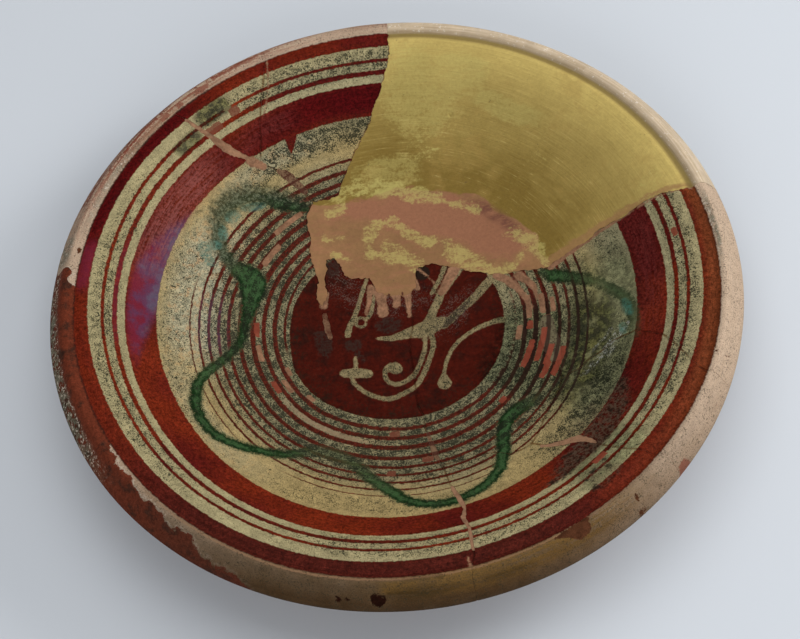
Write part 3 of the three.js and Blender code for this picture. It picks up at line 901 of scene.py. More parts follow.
def calc(operation, a, b=0.0):
    return put("ShaderNodeMath", {0: a, 1: b}, operation=operation)


def larger(a, b):
    return calc("MAXIMUM", a, b)


def ramp(value, low, high):
    # eased from 0 at the first limit to 1 at the second
    return put("ShaderNodeMapRange", {"Value": value, "From Min": low, "From Max": high},
               interpolation_type="SMOOTHSTEP")


def linear(value, span, target=(0, 1)):
    limits = {"From Min": span[0], "From Max": span[1], "To Min": target[0], "To Max": target[1]}
    return put("ShaderNodeMapRange", {"Value": value, **limits})


def shade(r, g, b):
    return (r, g, b, 1)


def shades(**tones):
    return {name: shade(*tone) for name, tone in tones.items()}


def mixed(amount, a, b, mode="MIX"):
    return put("ShaderNodeMix", {0: amount, 6: a, 7: b}, 2, data_type="RGBA", blend_type=mode)


def tinted(colour, tint):
    return mixed(1.0, colour, tint, "MULTIPLY")


def noise(vector, scale, detail=2.0, rough=0.5):
    return put("ShaderNodeTexNoise",
               {"Vector": vector, "Scale": scale, "Detail": detail, "Roughness": rough})


def voronoi(vector, scale, feature="F1"):
    return put("ShaderNodeTexVoronoi", {"Vector": vector, "Scale": scale}, "Distance", feature=feature)


def group(name, output, kind, build, **inputs):
    # inputs are given by their first value, or by their kind where they have none
    tree = bpy.data.node_groups.new(name, "ShaderNodeTree")
    for label, start in inputs.items():
        given = start if isinstance(start, str) else "Float"
        socket = tree.interface.new_socket(name=label, in_out="INPUT", socket_type="NodeSocket" + given)
        if not isinstance(start, str):
            socket.default_value = start
    tree.interface.new_socket(name=output, in_out="OUTPUT", socket_type="NodeSocket" + kind)
    entry = addNode(tree, "NodeGroupInput", {})
    addNode(tree, "NodeGroupOutput", {output: build(*(Value(entry.outputs[label]) for label in inputs))})
    return tree


def use(shared, **inputs):
    return put("ShaderNodeGroup", inputs, node_tree=shared)


# soft edges in millimetres, from outside to inside
ringEdge = (0.22, -0.22)
softEdge = (0.3, -0.3)
crispEdge = (0.15, -0.15)
specksForm = {
    # clusters are so much coarser than crumbs, thicken between these noise values and hold these shares
    "clusterScale": 0.13, "cluster": (0.25, 0.72), "outside": 0.4, "within": 0.95,
    # crumbs lie above this noise value, which the amount lowers
    "level": 0.69, "lowered": 0.16, "edge": (0.0, 0.035), "fadeIn": (0.0, 0.06), "noise": (3.0, 0.6),
}
crazingForm = {
    "bendScale": 2.0, "bend": 0.06, "dirtScale": 0.7, "dirt": (0.5, 0.6), "width": (0.085, 0.03),
    "detail": 3.0,
}
grainForm = {"noise": (5.0, 0.7), "noiseShare": 0.6, "pits": (0.1, 0.35), "pitShare": 0.4}
streaksForm = {"perRadian": 5.0, "noise": (1.0, 4.0, 0.7)}


def buildRing(radius, centre, width):
    past = abs(radius - centre) - width * 0.5
    return ramp(past, *ringEdge)


def buildSpecks(vector, scale, amount):
    # ragged crumbs of dirt in clusters, the more the higher the amount
    s = specksForm
    cluster = ramp(noise(vector, scale * s["clusterScale"], *s["noise"]), *s["cluster"])
    amount = amount * (s["outside"] + cluster * s["within"])
    crumbs = noise(vector, scale, *s["noise"])
    past = crumbs - (s["level"] - amount * s["lowered"])
    return ramp(past, *s["edge"]) * ramp(amount, *s["fadeIn"])


def buildCrazing(vector, scale):
    # fine cracks of the glaze, here and there filled with dirt
    c = crazingForm
    bent = noise(vector, scale * c["bendScale"], c["detail"])
    apart = voronoi(vector, scale, "DISTANCE_TO_EDGE") + bent * c["bend"]
    filled = ramp(noise(vector, scale * c["dirtScale"], c["detail"]), *c["dirt"])
    return ramp(apart, *c["width"]) * filled


def buildTone(colour, value, amount):
    swing = (value - 0.5) * (amount * 2.0)
    return put("ShaderNodeVectorMath", {0: colour, "Scale": 1.0 + swing}, operation="SCALE")


def buildGrain(vector, scale):
    fine = noise(vector, scale, *grainForm["noise"])
    pitted = ramp(voronoi(vector, scale), *grainForm["pits"])
    return fine * grainForm["noiseShare"] + pitted * grainForm["pitShare"]


def buildStreaks(radius, sweep, fineness):
    # marks of turning: long round the dish, short across it
    place = put("ShaderNodeCombineXYZ", {0: radius * fineness, 1: sweep * streaksForm["perRadian"]})
    return noise(place, *streaksForm["noise"])


ringGroup = group("slip ring", "Mask", "Float", buildRing, Radius="Float", Centre=100, Width=2)
specksGroup = group("dark specks", "Mask", "Float", buildSpecks, Vector="Vector", Scale=700, Amount=0.5)
crazingGroup = group("crazing", "Mask", "Float", buildCrazing, Vector="Vector", Scale=300)
toneGroup = group("uneven tone", "Colour", "Color", buildTone, Colour="Color", Value=0.5, Amount=0.3)
grainGroup = group("clay grain", "Height", "Float", buildGrain, Vector="Vector", Scale=900)
streaksGroup = group("turning streaks", "Value", "Float", buildStreaks, Radius="Float", Sweep="Float",
                     Fineness=1)


def toned(colour, *swings):
    # pairs of a value and how far it swings the tone
    for value, amount in zip(swings[::2], swings[1::2]):
        colour = use(toneGroup, Colour=colour, Value=value, Amount=amount)
    return colour


def toneLayer(table):
    # lays a named tone over a colour, by its share where it has one, with swings of tone

    def lay(under, mask, name, *swings):
        share = table["share"]
        amount = mask * share[name] if name in share else mask
        return mixed(amount, under, toned(table[name], *swings))

    return lay


def startMaterial(name):
    # the material, places on the object, and a reader of the fields
    made = bpy.data.materials.new(name)
    made.use_nodes = True
    tree = made.node_tree
    tree.nodes.clear()

    def field(label):
        node = addNode(tree, "ShaderNodeAttribute", {}, attribute_name=label, attribute_type="GEOMETRY")
        return Value(node.outputs["Fac"])

    return made, Value(addNode(tree, "ShaderNodeTexCoord", {}).outputs["Object"]), field


def endMaterial(made, colour, roughness, height, bump, specular):
    normal = put("ShaderNodeBump", {"Strength": 1.0, "Distance": bump, "Height": height})
    surface = put("ShaderNodeBsdfPrincipled", {
        "Base Color": colour, "Roughness": roughness, "Specular IOR Level": specular, "Normal": normal})
    addNode(made.node_tree, "ShaderNodeOutputMaterial", {"Surface": surface})


glaze = {
    **shades(
        cream=(0.32, 0.235, 0.1), creamPale=(0.31, 0.272, 0.15), creamGrey=(0.21, 0.185, 0.105),
        speck=(0.012, 0.014, 0.008), red=(0.142, 0.0165, 0.005), redDeep=(0.07, 0.006, 0.005),
        crimson=(0.058, 0.0018, 0.0028), clean=(0.22, 0.135, 0.082), lineRed=(0.07, 0.0115, 0.0065),
        maroon=(0.057, 0.0088, 0.0054), rust=(0.12, 0.032, 0.01), lineDark=(0.028, 0.015, 0.01),
        floorRed=(0.047, 0.005, 0.0022), floorDark=(0.019, 0.005, 0.003), haze=(0.24, 0.083, 0.072),
        motif=(0.2, 0.155, 0.078), blot=(0.028, 0.0145, 0.0105), hole=(0.016, 0.008, 0.005),
        dust=(0.13, 0.095, 0.075), green=(0.034, 0.075, 0.026), greenDark=(0.006, 0.02, 0.005),
        greenThin=(0.05, 0.08, 0.035), mossDark=(0.012, 0.02, 0.008), mossGrey=(0.1, 0.115, 0.07),
        patinaTint=(0.45, 0.5, 0.36), veilTint=(0.6, 0.68, 0.64), stainTint=(0.6, 0.5, 0.5),
        patinaDark=(0.014, 0.016, 0.01), patinaGreen=(0.15, 0.145, 0.07), stain=(0.075, 0.05, 0.032),
        stainDark=(0.014, 0.01, 0.006), scratch=(0.3, 0.3, 0.26), purple=(0.1, 0.032, 0.072),
        magenta=(0.15, 0.014, 0.03), blueGrey=(0.09, 0.072, 0.115), pearlPale=(0.5, 0.46, 0.31),
        pearlBlue=(0.24, 0.27, 0.21), pearlWarm=(0.36, 0.23, 0.14), teal=(0.03, 0.115, 0.09),
        retouch=(0.22, 0.047, 0.026), brown=(0.15, 0.045, 0.025), tan=(0.25, 0.128, 0.072),
        crackTint=(0.5, 0.36, 0.26), lip=(0.58, 0.43, 0.31), lipDull=(0.45, 0.325, 0.225),
        lipDirty=(0.088, 0.054, 0.027), lowTint=(0.66, 0.58, 0.48), rimTint=(0.85, 0.82, 0.8),
        lipOchre=(0.14, 0.078, 0.024), lipSmut=(0.03, 0.018, 0.006), worn=(0.13, 0.028, 0.013),
        wornDark=(0.045, 0.018, 0.011), flake=(0.075, 0.027, 0.012), flakeDark=(0.014, 0.004, 0.002),
        soot=(0.03, 0.028, 0.017), sootGrey=(0.14, 0.145, 0.1), lipPale=(0.52, 0.44, 0.35),
        lipLine=(0.3, 0.165, 0.09), lipPink=(0.2, 0.058, 0.037), crease=(0.03, 0.011, 0.007)),
    # noises as scale, detail and roughness
    "noises": [(30, 3.0), (125, 5.0, 0.65), (290, 4.0, 0.65), (700, 4.0, 0.7), (2200, 3.0, 0.7)],
    # how much of each tone is laid on
    "share": {
        "pearl": 0.6, "rust": 0.8, "crimson": 0.9, "clean": 0.6, "floorDark": 0.8, "blot": 0.85,
        "dust": 0.4, "moss": 0.85, "speck": 0.9, "lineVeiled": 0.85, "patinaColour": 0.85,
        "lineStained": 0.8, "browned": 0.92, "rainbow": 0.85, "teal": 0.75, "haze": 0.75, "retouch": 0.92,
        "brown": 0.85, "lipLine": 0.6, "lipSmut": 0.7, "lipPink": 0.8, "soot": 0.65, "sootTone": 0.8,
        "creamPale": 0.75, "lipPale": 0.7, "fouledAndShaded": 0.6,
    },
    # the larger the finer
    "turning": 1.3, "specks": 1900.0, "blobs": 820.0, "dustSpecks": 1600.0, "pits": 1500.0,
    "crazing": 330.0, "pitting": 0.72, "roughness": (0.38, 0.7), "bump": 0.0003, "specular": 0.02,
}


def slipGlaze():
    made, place, field = startMaterial("slip glaze")
    g, share, lay = glaze, glaze["share"], toneLayer(glaze)
    broad, cloud, mottle, fine, grainy = (noise(place, *row) for row in g["noises"])
    edge = mottle - 0.5 + (fine - 0.5) * 1.6
    radius = field("slipRadius") + edge
    turned = use(streaksGroup, Radius=radius, Sweep=field("sweep"), Fineness=g["turning"])
    streaked = turned * 0.6 + fine * 0.4

    # cream slip, pearly where the glaze has weathered
    greyness = field("grime") + (broad - 0.5)
    cream = mixed(ramp(greyness, -0.1, 1.1), g["cream"], g["creamGrey"])
    outside = ramp(radius, *slipRings["paleFrom"])
    cream = lay(cream, outside, "creamPale")
    pearl = mixed(ramp(fine, 0.42, 0.6), g["pearlPale"], g["pearlBlue"])
    pearl = lay(pearl, ramp(mottle, 0.5, 0.62), "pearlWarm")
    cream = mixed(field("pearl") * share["pearl"], cream, pearl)
    cream = toned(cream, cloud, 0.4, grainy, 1.1, mottle, 0.5)

    # red slip in bands and lines
    deep = broad + turned * 0.5
    deep = ramp(deep + field("grime") * 0.14, 0.55, 1.0)
    red = mixed(deep, g["red"], g["redDeep"])
    red = lay(red, ramp(radius, *slipRings["linesWithin"]), "lineRed")
    red = lay(red, field("maroon") * ramp(cloud, 0.1, 0.42), "maroon")
    red = lay(red, field("rust"), "rust")
    red = lay(red, field("crimson"), "crimson")
    red = toned(red, fine, 1.5, grainy, 1.3, turned, 0.7, cloud, 0.4)
    painted = ramp(field("spur") + edge, *softEdge)
    gain = field("lineGain")
    for centre, width in slipRings["bands"]:
        painted = larger(painted, use(ringGroup, Radius=radius, Centre=centre, Width=width))
    for centre, width in slipRings["thinLines"]:
        mask = use(ringGroup, Radius=radius, Centre=centre, Width=width + gain)
        painted = larger(painted, mask * field("lineShown"))
    cream = lay(cream, field("clean"), "clean", mottle, 0.6)
    colour = mixed(painted, cream, red)

    # medallion, its scrolled strokes, blotches and dust
    floorRed = mixed(ramp(cloud, 0.48, 0.66) * share["floorDark"], g["floorRed"], g["floorDark"])
    floorRed = toned(floorRed, mottle, 0.7, fine, 0.8)
    medallion = ramp(field("medallion") + edge, *softEdge)
    colour = mixed(medallion, colour, floorRed)
    drawn = ramp(field("motif") + edge, 0.15, -0.55)
    colour = lay(colour, drawn, "motif", mottle, 0.9, grainy, 0.6)
    smut = field("blot") + edge * 1.3
    blot = ramp(smut, 0.3, 0.9) * ramp(fine, 0.36, 0.52)
    colour = lay(colour, blot, "blot", fine, 0.9, grainy, 0.6)
    colour = lay(colour, ramp(field("hole") * (fine + 0.5), 0.3, 0.5), "hole")
    dust = use(specksGroup, Vector=place, Scale=g["dustSpecks"], Amount=field("dust") * medallion)
    colour = lay(colour, dust, "dust")

    # green trail, thin and bristly at its edges, with growth beside it
    bristle = (grainy - 0.5) * 3.0
    line = field("trail") + (edge * 2.4 + bristle)
    fade = field("trailFade")
    halo = ramp(line, 1.6, -0.6) * (fade * 0.8)
    colour = lay(colour, halo, "greenThin")
    core = ramp(line, 0.5, -0.6) * ramp(fade, 0.2, 1.0)
    dense = ramp(line, -2.4, -0.6) + (mottle - 0.5) * 3.5
    green = mixed(ramp(dense, 0.0, 0.9), g["green"], g["greenDark"])
    green = toned(green, fine, 0.8, grainy, 0.6)
    colour = mixed(core * ramp(fine, 0.28, 0.4), colour, green)
    grown = field("moss") + edge * 7.0
    moss = mixed(ramp(fine, 0.44, 0.6), g["mossDark"], g["mossGrey"])
    colour = mixed(ramp(grown, 2.5, -4.5) * share["moss"], colour, toned(moss, grainy, 0.6))

    # dark specks lie thick where the slip is pale and worn
    pale = 1.0 - larger(painted, medallion) * 0.5
    pale = larger(pale, drawn)
    amount = larger(field("specks"), drawn) * pale
    amount = amount * (1.0 - field("clean") * 0.8)
    amount = larger(amount, core * 0.5)
    specks = use(specksGroup, Vector=place, Scale=g["specks"], Amount=amount)
    blobs = use(specksGroup, Vector=place, Scale=g["blobs"], Amount=amount * 0.6)
    specks = larger(specks, blobs)
    crazed = use(crazingGroup, Vector=place, Scale=g["crazing"])
    crazed = crazed * ramp(amount, 0.05, 0.5)
    specks = larger(specks, crazed * 0.6)
    colour = lay(colour, specks, "speck")

    # stains from burial
    veil = ramp(field("veil") * (cloud + 0.45), 0.25, 0.85)
    lined = painted * ramp(radius, *slipRings["stainedWithin"])
    colour = mixed(lined * veil * share["lineVeiled"], colour, g["lineDark"])
    veiled = tinted(colour, g["veilTint"])
    colour = mixed(veil, colour, toned(veiled, mottle, 0.9, fine, 0.8))
    patina = ramp(field("patina") * (mottle + 0.25), 0.25, 0.7)
    darkened = tinted(colour, g["patinaTint"])
    darkened = lay(darkened, ramp(cloud, 0.48, 0.62), "patinaGreen")
    patinaColour = mixed(ramp(mottle, 0.4, 0.6), g["patinaDark"], darkened)
    colour = mixed(patina * share["patinaColour"], colour, toned(patinaColour, grainy, 0.6))
    colour = mixed(lined * patina * share["lineStained"], colour, g["lineDark"])
    patchy = mottle * 2.2 - 0.4
    stain = ramp(field("stain") * patchy, 0.25, 0.6)
    browned = tinted(colour, g["stainTint"])
    browned = lay(browned, ramp(fine, 0.4, 0.56), "stain")
    browned = lay(browned, ramp(mottle, 0.52, 0.64), "stainDark")
    colour = mixed(stain * share["browned"], colour, toned(browned, grainy, 0.7))
    scratched = ramp(field("scratch") + edge * 1.4, 0.2, -0.5)
    colour = lay(colour, scratched * ramp(fine + grainy, 1.02, 1.16), "scratch")

    # rainbow weathering of the glaze, bluer towards the middle of the dish
    hue = linear(radius, slipRings["hueSpan"]) + (cloud - 0.5) * 2.4
    rainbow = mixed(ramp(hue, 0.15, 0.6), g["magenta"], g["purple"])
    rainbow = lay(rainbow, ramp(hue, 0.6, 1.05), "blueGrey")
    shine = ramp(field("iris") * (mottle + 0.35), 0.15, 0.9)
    shine = shine * painted
    colour = mixed(shine * share["rainbow"], colour, toned(rainbow, grainy, 0.5))
    bloom = ramp(field("teal") * (fine + mottle), 0.6, 1.3)
    colour = lay(colour, bloom, "teal", fine, 0.9, grainy, 0.6)
    # a paler pinkish haze on the bands, partly weathering and partly painted sheen
    haze = field("haze") * ramp(streaked, 0.4, 0.6)
    colour = lay(colour, haze, "haze", grainy, 0.7)

    # breaks, later retouching and smeared plaster
    cracked = ramp(field("breakAway"), 0.8, 0.1) * ramp(mottle, 0.35, 0.6)
    colour = mixed(cracked, colour, tinted(colour, g["crackTint"]))
    touched = ramp(field("retouch") + edge, *crispEdge)
    colour = lay(colour, touched, "retouch", mottle, 0.5)
    daubed = ramp(field("brown") + edge, *crispEdge)
    colour = lay(colour, daubed, "brown")
    smeared = ramp(field("smear") + edge * 1.6, 0.3, -0.5)
    smeared = larger(smeared, ramp(field("tanLoss") + edge, 0.15, -0.3))
    colour = lay(colour, smeared, "tan", cloud, 0.9, fine, 0.8)

    # lip
    lip = mixed(ramp(turned, 0.3, 0.75), g["lip"], g["lipDull"])
    smooth = (cloud - 0.5) * 0.35
    # dirt and painted shade darken the front of the lip
    dirt = ramp(field("lipDirt") + smooth, -0.1, 1.1)
    lip = lay(lip, dirt, "lipDirty")
    lip = lay(lip, field("lipOchre") * ramp(streaked, 0.3, 0.55), "lipOchre")
    # painted shade: the lip's lower outer side and its rim darker, most at the front
    low = dirt * ramp(radius, *slipRings["lipLowShade"])
    lip = mixed(low, lip, tinted(lip, g["lowTint"]))
    rimShaded = dirt * ramp(radius, *slipRings["lipRimShade"])
    lip = mixed(rimShaded, lip, tinted(lip, g["rimTint"]))
    lip = toned(lip, streaked, 0.6, grainy, 0.7)
    # painted highlight: a pale line along the lip's inner edge, at the front
    inner = ramp(abs(radius - slipRings["lipLine"]), 1.0, 0.1)
    inner = inner * ramp(field("lipDirt"), 0.3, 0.9)
    lip = lay(lip, inner, "lipLine")
    smutty = field("lipStreak") + edge * 2.5
    smutty = ramp(smutty, 1.5, -1.5) * ramp(streaked, 0.36, 0.56)
    lip = lay(lip, smutty, "lipSmut")
    pink = field("lipPink") * ramp(streaked, 0.45, 0.53)
    pink = larger(pink, ramp(field("lipSpot") + edge, 0.3, 0.7))
    lip = lay(lip, pink, "lipPink")
    pits = use(specksGroup, Vector=place, Scale=g["pits"], Amount=g["pitting"])
    lip = lay(lip, pits, "soot")

    # worn and flaked places of the lip, with pale broken edges
    wornEdge = field("worn") + edge * 2.5
    flakeEdge = field("flake") + edge * 1.6
    broken = ramp(abs(wornEdge), 1.3, 0.3)
    broken = broken * ramp(field("lipDirt"), 1.0, 0.3)
    broken = broken * ramp(fine, 0.42, 0.58)
    lip = lay(lip, broken, "lipPale")
    wornTone = mixed(ramp(cloud, 0.48, 0.64), g["worn"], g["wornDark"])
    # worn clay darker towards the front: dirt and painted shade
    fouledAndShaded = ramp(field("lipDirt"), 0.3, 0.85)
    wornTone = mixed(fouledAndShaded * share["fouledAndShaded"], wornTone, g["wornDark"])
    wornTone = toned(wornTone, fine, 0.9, grainy, 0.8)
    lip = mixed(ramp(wornEdge, -0.2, 0.2), lip, wornTone)
    sooty = field("lipSoot") * ramp(mottle + edge, 0.2, 0.55)
    sootTone = mixed(ramp(mottle, 0.44, 0.56), g["soot"], g["sootGrey"])
    lip = mixed(sooty * share["sootTone"], lip, toned(sootTone, fine, 0.7))
    flecks = ramp(fine, 0.56, 0.62) * ramp(field("lipSoot"), 0.0, 0.5)
    lip = mixed(flecks, lip, g["lipPale"])
    flaked = ramp(flakeEdge, 0.2, -0.2)
    # flakes darker towards the front: dirt and painted shade
    flakeTone = mixed(ramp(field("lipDirt"), 0.75, 0.95), g["flake"], g["flakeDark"])
    lip = mixed(flaked, lip, toned(flakeTone, mottle, 1.2, grainy, 0.7))
    onLip = ramp(radius, slipRings["lipEdge"] - 0.3, slipRings["lipEdge"] + 0.3)
    colour = mixed(onLip, colour, lip)
    # painted shade: a dark line in the groove at the lip's inner edge
    crease = ramp(abs(radius - (slipRings["lipEdge"] - 0.2)), 0.8, 0.15)
    crease = crease * (0.35 + ramp(mottle, 0.4, 0.6) * 0.6)
    colour = lay(colour, crease * field("lipCrease"), "crease")

    # matt where bare, smeared or dirty
    matt = larger(larger(smeared, touched), larger(onLip, patina))
    matt = larger(matt, specks * 0.7)
    rough = linear(matt + mottle * 0.25, (0, 1), g["roughness"])
    height = grainy * (0.2 + matt) - specks * 0.35
    endMaterial(made, colour, rough, height, g["bump"], g["specular"])
    return made


clay = {
    **shades(body=(0.24, 0.098, 0.052), pale=(0.31, 0.15, 0.088), dark=(0.13, 0.052, 0.03),
             speck=(0.07, 0.035, 0.022)),
    "share": {"dark": 0.55, "speck": 0.7},
    "turning": 0.5, "firing": (16, 3.0), "mottle": (240, 4.0, 0.6), "uneven": 0.3, "specks": 700.0,
    "speckled": 0.25, "grain": 700.0, "grooved": 1.2, "roughness": 0.86, "bump": 0.0005, "specular": 0.25,
}


def bareClay():
    made, place, field = startMaterial("bare clay")
    c, lay = clay, toneLayer(clay)
    streaks = use(streaksGroup, Radius=field("slipRadius"), Sweep=field("sweep"), Fineness=c["turning"])
    colour = mixed(ramp(streaks, 0.3, 0.7), c["body"], c["pale"])
    fired = ramp(noise(place, *c["firing"]), 0.45, 0.7)
    colour = lay(colour, fired, "dark")
    colour = toned(colour, noise(place, *c["mottle"]), c["uneven"])
    specks = use(specksGroup, Vector=place, Scale=c["specks"], Amount=c["speckled"])
    colour = lay(colour, specks, "speck")
    height = use(grainGroup, Vector=place, Scale=c["grain"]) + streaks * c["grooved"]
    endMaterial(made, colour, c["roughness"], height, c["bump"], c["specular"])
    return made


plaster = {
    **shades(
        inner=(0.172, 0.11, 0.02), outer=(0.5, 0.375, 0.115), warm=(0.3, 0.19, 0.05),
        streak=(0.52, 0.41, 0.145), pink=(0.26, 0.109, 0.058), darkPink=(0.15, 0.057, 0.034),
        tan=(0.275, 0.141, 0.061), tanDark=(0.22, 0.114, 0.047), yellow=(0.4, 0.34, 0.105),
        lip=(0.57, 0.455, 0.325), lipDark=(0.42, 0.315, 0.2), lipPale=(0.7, 0.64, 0.54),
        groove=(0.13, 0.085, 0.026), gap=(0.05, 0.008, 0.004), speck=(0.08, 0.06, 0.03)),
    "share": {
        "warm": 0.4, "streak": 0.6, "yellowSmears": 0.42, "floorPink": 0.45, "pinkRun": 0.9,
        "darkPink": 0.8, "tan": 0.7, "yellowDabs": 0.62, "speck": 0.6, "groove": 0.75,
    },
    "noises": [(22, 4.0, 0.6), (150, 5.0, 0.65), (700, 4.0, 0.7)],
    "swept": (290, 6.0, 0.72), "sweptAlong": (0.35, 1.0, 1.0), "brushing": 1.5, "specks": 900.0,
    "speckled": 0.05,
    # radii between which the wall turns pale, where its lip begins, and the groove's place and the half
    # widths of its brown paint and painted shade
    "paling": (90, 148), "lipFrom": (148, 149.4), "grooveAt": 147.6, "grooveShadeWidths": (4.0, 0.6),
    "roughness": 0.75, "bump": 0.0002, "specular": 0.15,
}


def paintedPlaster():
    made, place, field = startMaterial("painted plaster")
    p, share, lay = plaster, plaster["share"], toneLayer(plaster)
    radius = field("slipRadius")
    brushed = use(streaksGroup, Radius=radius, Sweep=field("sweep"), Fineness=p["brushing"])
    broad, mottle, fine = (noise(place, *row) for row in p["noises"])
    drawnOut = put("ShaderNodeVectorMath", {0: place, 1: p["sweptAlong"]}, operation="MULTIPLY")
    swept = noise(drawnOut, *p["swept"])

    # ochre wall, paler towards the lip, with the marks of the brush
    outwards = radius + (broad - 0.5) * 60.0
    outwards = outwards + (brushed - 0.5) * 35.0
    colour = mixed(linear(outwards, p["paling"]), p["inner"], p["outer"])
    warm = ramp(broad * 0.6 + mottle * 0.4, 0.48, 0.62)
    colour = lay(colour, warm, "warm")
    stroke = ramp(brushed, 0.58, 0.68) * ramp(mottle, 0.4, 0.65)
    colour = lay(colour, stroke, "streak")

    # smears of yellow on the wall
    smudge = swept * 0.6 + fine * 0.4
    yellowed = ramp(field("yellowed") * 0.26 + smudge, 0.6, 0.8)
    colour = mixed(yellowed * share["yellowSmears"], colour, p["yellow"])

    # tan and pink floor, with dabs of yellow round it
    fray = swept - 0.5
    onFloor = ramp(field("floorZone") + fray, 0.35, 0.65)
    floorTone = mixed(ramp(broad, 0.4, 0.6), p["tan"], p["tanDark"])
    floorTone = mixed(ramp(swept, 0.45, 0.62) * share["floorPink"], floorTone, p["pink"])
    colour = mixed(onFloor, colour, toned(floorTone, mottle, 0.25))
    pink = ramp(field("pink") + fray * 16.0, 2.5, -2.5)
    colour = mixed(pink * share["pinkRun"], colour, p["pink"])
    # painted shadow along the pink's outer edge, where the floor turns up into the wall
    shadow = field("darkPink") * ramp(swept, 0.3, 0.6)
    colour = lay(colour, shadow, "darkPink")
    border = ramp(field("fringe") + fray * 7.0, 0.8, -0.8)
    colour = lay(colour, border, "tan")
    dabs = ramp(field("yellow") * 0.4 + smudge, 0.8, 0.96)
    colour = mixed(dabs * share["yellowDabs"], colour, p["yellow"])
    colour = toned(colour, fine, 0.25)
    between = ramp(field("dripGap") + fray * 2.0, *softEdge)
    colour = lay(colour, between, "gap")
    dots = use(specksGroup, Vector=place, Scale=p["specks"], Amount=p["speckled"])
    colour = lay(colour, dots, "speck")

    # lip, and the groove inside it, darkened by brown paint and painted shade
    lip = mixed(ramp(brushed, 0.35, 0.7), p["lip"], p["lipDark"])
    lip = lay(lip, ramp(fine, 0.6, 0.66), "lipPale")
    lip = toned(lip, mottle, 0.3)
    colour = mixed(ramp(radius, *p["lipFrom"]), colour, lip)
    # painted shade with brown paint along the groove
    groove = ramp(abs(radius - p["grooveAt"]), *p["grooveShadeWidths"])
    colour = lay(colour, groove, "groove")
    height = fine * 0.5 + brushed * 0.5
    endMaterial(made, colour, p["roughness"], height, p["bump"], p["specular"])
    return made


puttyGrain = {
    "patches": (190, 4.0, 0.65), "fine": (700, 4.0, 0.7), "uneven": 0.4, "specks": 1300.0,
    "lineShare": 0.85, "grain": 900.0, "bump": 0.0004, "specular": 0.05,
}
putties = {
    "tan_putty": {
        **shades(body=(0.29, 0.155, 0.088), dark=(0.17, 0.088, 0.05), line=(0.13, 0.065, 0.04)),
        "lines": [], "speckled": 0.3, "touched": 0.0, "roughness": 0.85,
    },
    "lined_putty": {
        **shades(body=(0.17, 0.1, 0.055), dark=(0.1, 0.055, 0.032), line=(0.055, 0.012, 0.008)),
        "lines": slipRings["thinLines"], "speckled": 0.9, "touched": 0.0, "roughness": 0.75,
    },
    "dull_putty": {
        **shades(body=(0.16, 0.085, 0.048), dark=(0.07, 0.022, 0.012), line=(0.03, 0.008, 0.005)),
        "lines": [], "speckled": 0.3, "touched": 0.0, "roughness": 0.8,
    },
    "red_putty": {
        **shades(body=(0.145, 0.12, 0.068), dark=(0.055, 0.045, 0.027), line=(0.03, 0.012, 0.009)),
        # the floor's inner lines only
        "lines": slipRings["thinLines"][5:], "speckled": 0.9, "touched": 0.92, "roughness": 0.7,
    },
}
# fillers that aren't plain tan
puttyOf = {
    "right_filler": "red_putty", "upper_left_inner_filler": "lined_putty",
    "bottom_inner_filler": "lined_putty", "medallion_filler": "dull_putty",
}


def putty(name):
    made, place, field = startMaterial(name.replace("_", " "))
    look, grain = putties[name], puttyGrain
    patchy = ramp(noise(place, *grain["patches"]), 0.42, 0.68)
    colour = mixed(patchy, look["body"], look["dark"])
    colour = toned(colour, noise(place, *grain["fine"]), grain["uneven"])
    marks = use(specksGroup, Vector=place, Scale=grain["specks"], Amount=look["speckled"])
    for centre, width in look["lines"]:
        marks = larger(marks, use(ringGroup, Radius=field("slipRadius"), Centre=centre, Width=width))
    colour = mixed(marks * grain["lineShare"], colour, look["line"])
    if look["touched"]:
        touched = ramp(field("retouch"), *softEdge) * look["touched"]
        colour = mixed(touched, colour, glaze["retouch"])
    height = use(grainGroup, Vector=place, Scale=grain["grain"])
    endMaterial(made, colour, look["roughness"], height, grain["bump"], grain["specular"])
    return made


slipMaterial, clayMaterial, plasterMaterial = slipGlaze(), bareClay(), paintedPlaster()
puttyMaterials = {name: putty(name) for name in putties}
print("materials:", len(bpy.data.materials), "with", len(bpy.data.node_groups), "shared groups")

# Pieces

# slip runs under the lip to this radius, and over the edges of the walls within this band at the rim
lipUnderside = 151.5
rimBand = 0.5
sharpAngle = math.radians(48)
# below this the ways of a point's two sides cancel out
leastTurn = 1e-6
# distances, which are far off on the underside
distances = ("breakAway", "medallion", "motif", "trail", "smear", "retouch", "tanLoss", "brown", "spur",
             "scratch", "moss")


def writePiece(name, points, faces, index, materials, used):
    # keeps the points that faces use, with the fields at each; the last third of the points lies below
    needed, renumbered = np.unique(faces, return_inverse=True)
    renumbered = renumbered.reshape(-1, 3)
    mesh = bpy.data.meshes.new(name)
    mesh.vertices.add(len(needed))
    mesh.vertices.foreach_set("co", (points[needed] * mm).ravel())
    mesh.loops.add(renumbered.size)
    mesh.loops.foreach_set("vertex_index", renumbered.ravel().astype(np.int32))
    mesh.polygons.add(len(renumbered))
    mesh.polygons.foreach_set("loop_start", np.arange(0, renumbered.size, 3, dtype=np.int32))
    mesh.polygons.foreach_set("material_index", index.astype(np.int32))
    mesh.update(calc_edges=True)
    for material in materials:
        mesh.materials.append(material)
    source = used[needed % len(used)]
    below = needed >= 2 * len(used)
    for label, values in fields.items():
        data = values[source].astype(np.float32)
        if label == "slipRadius":
            data = np.where(below, 2 * section["rimRadius"] - radiusOf[source], data).astype(np.float32)
        elif label in distances:
            data = np.where(below, farAway, data).astype(np.float32)
        mesh.attributes.new(label, "FLOAT", "POINT").data.foreach_set("value", data)
    mesh.shade_smooth()
    mesh.set_sharp_from_angle(angle=sharpAngle)
    mesh.validate()
    piece = bpy.data.objects.new(name, mesh)
    bpy.context.collection.objects.link(piece)
    return piece


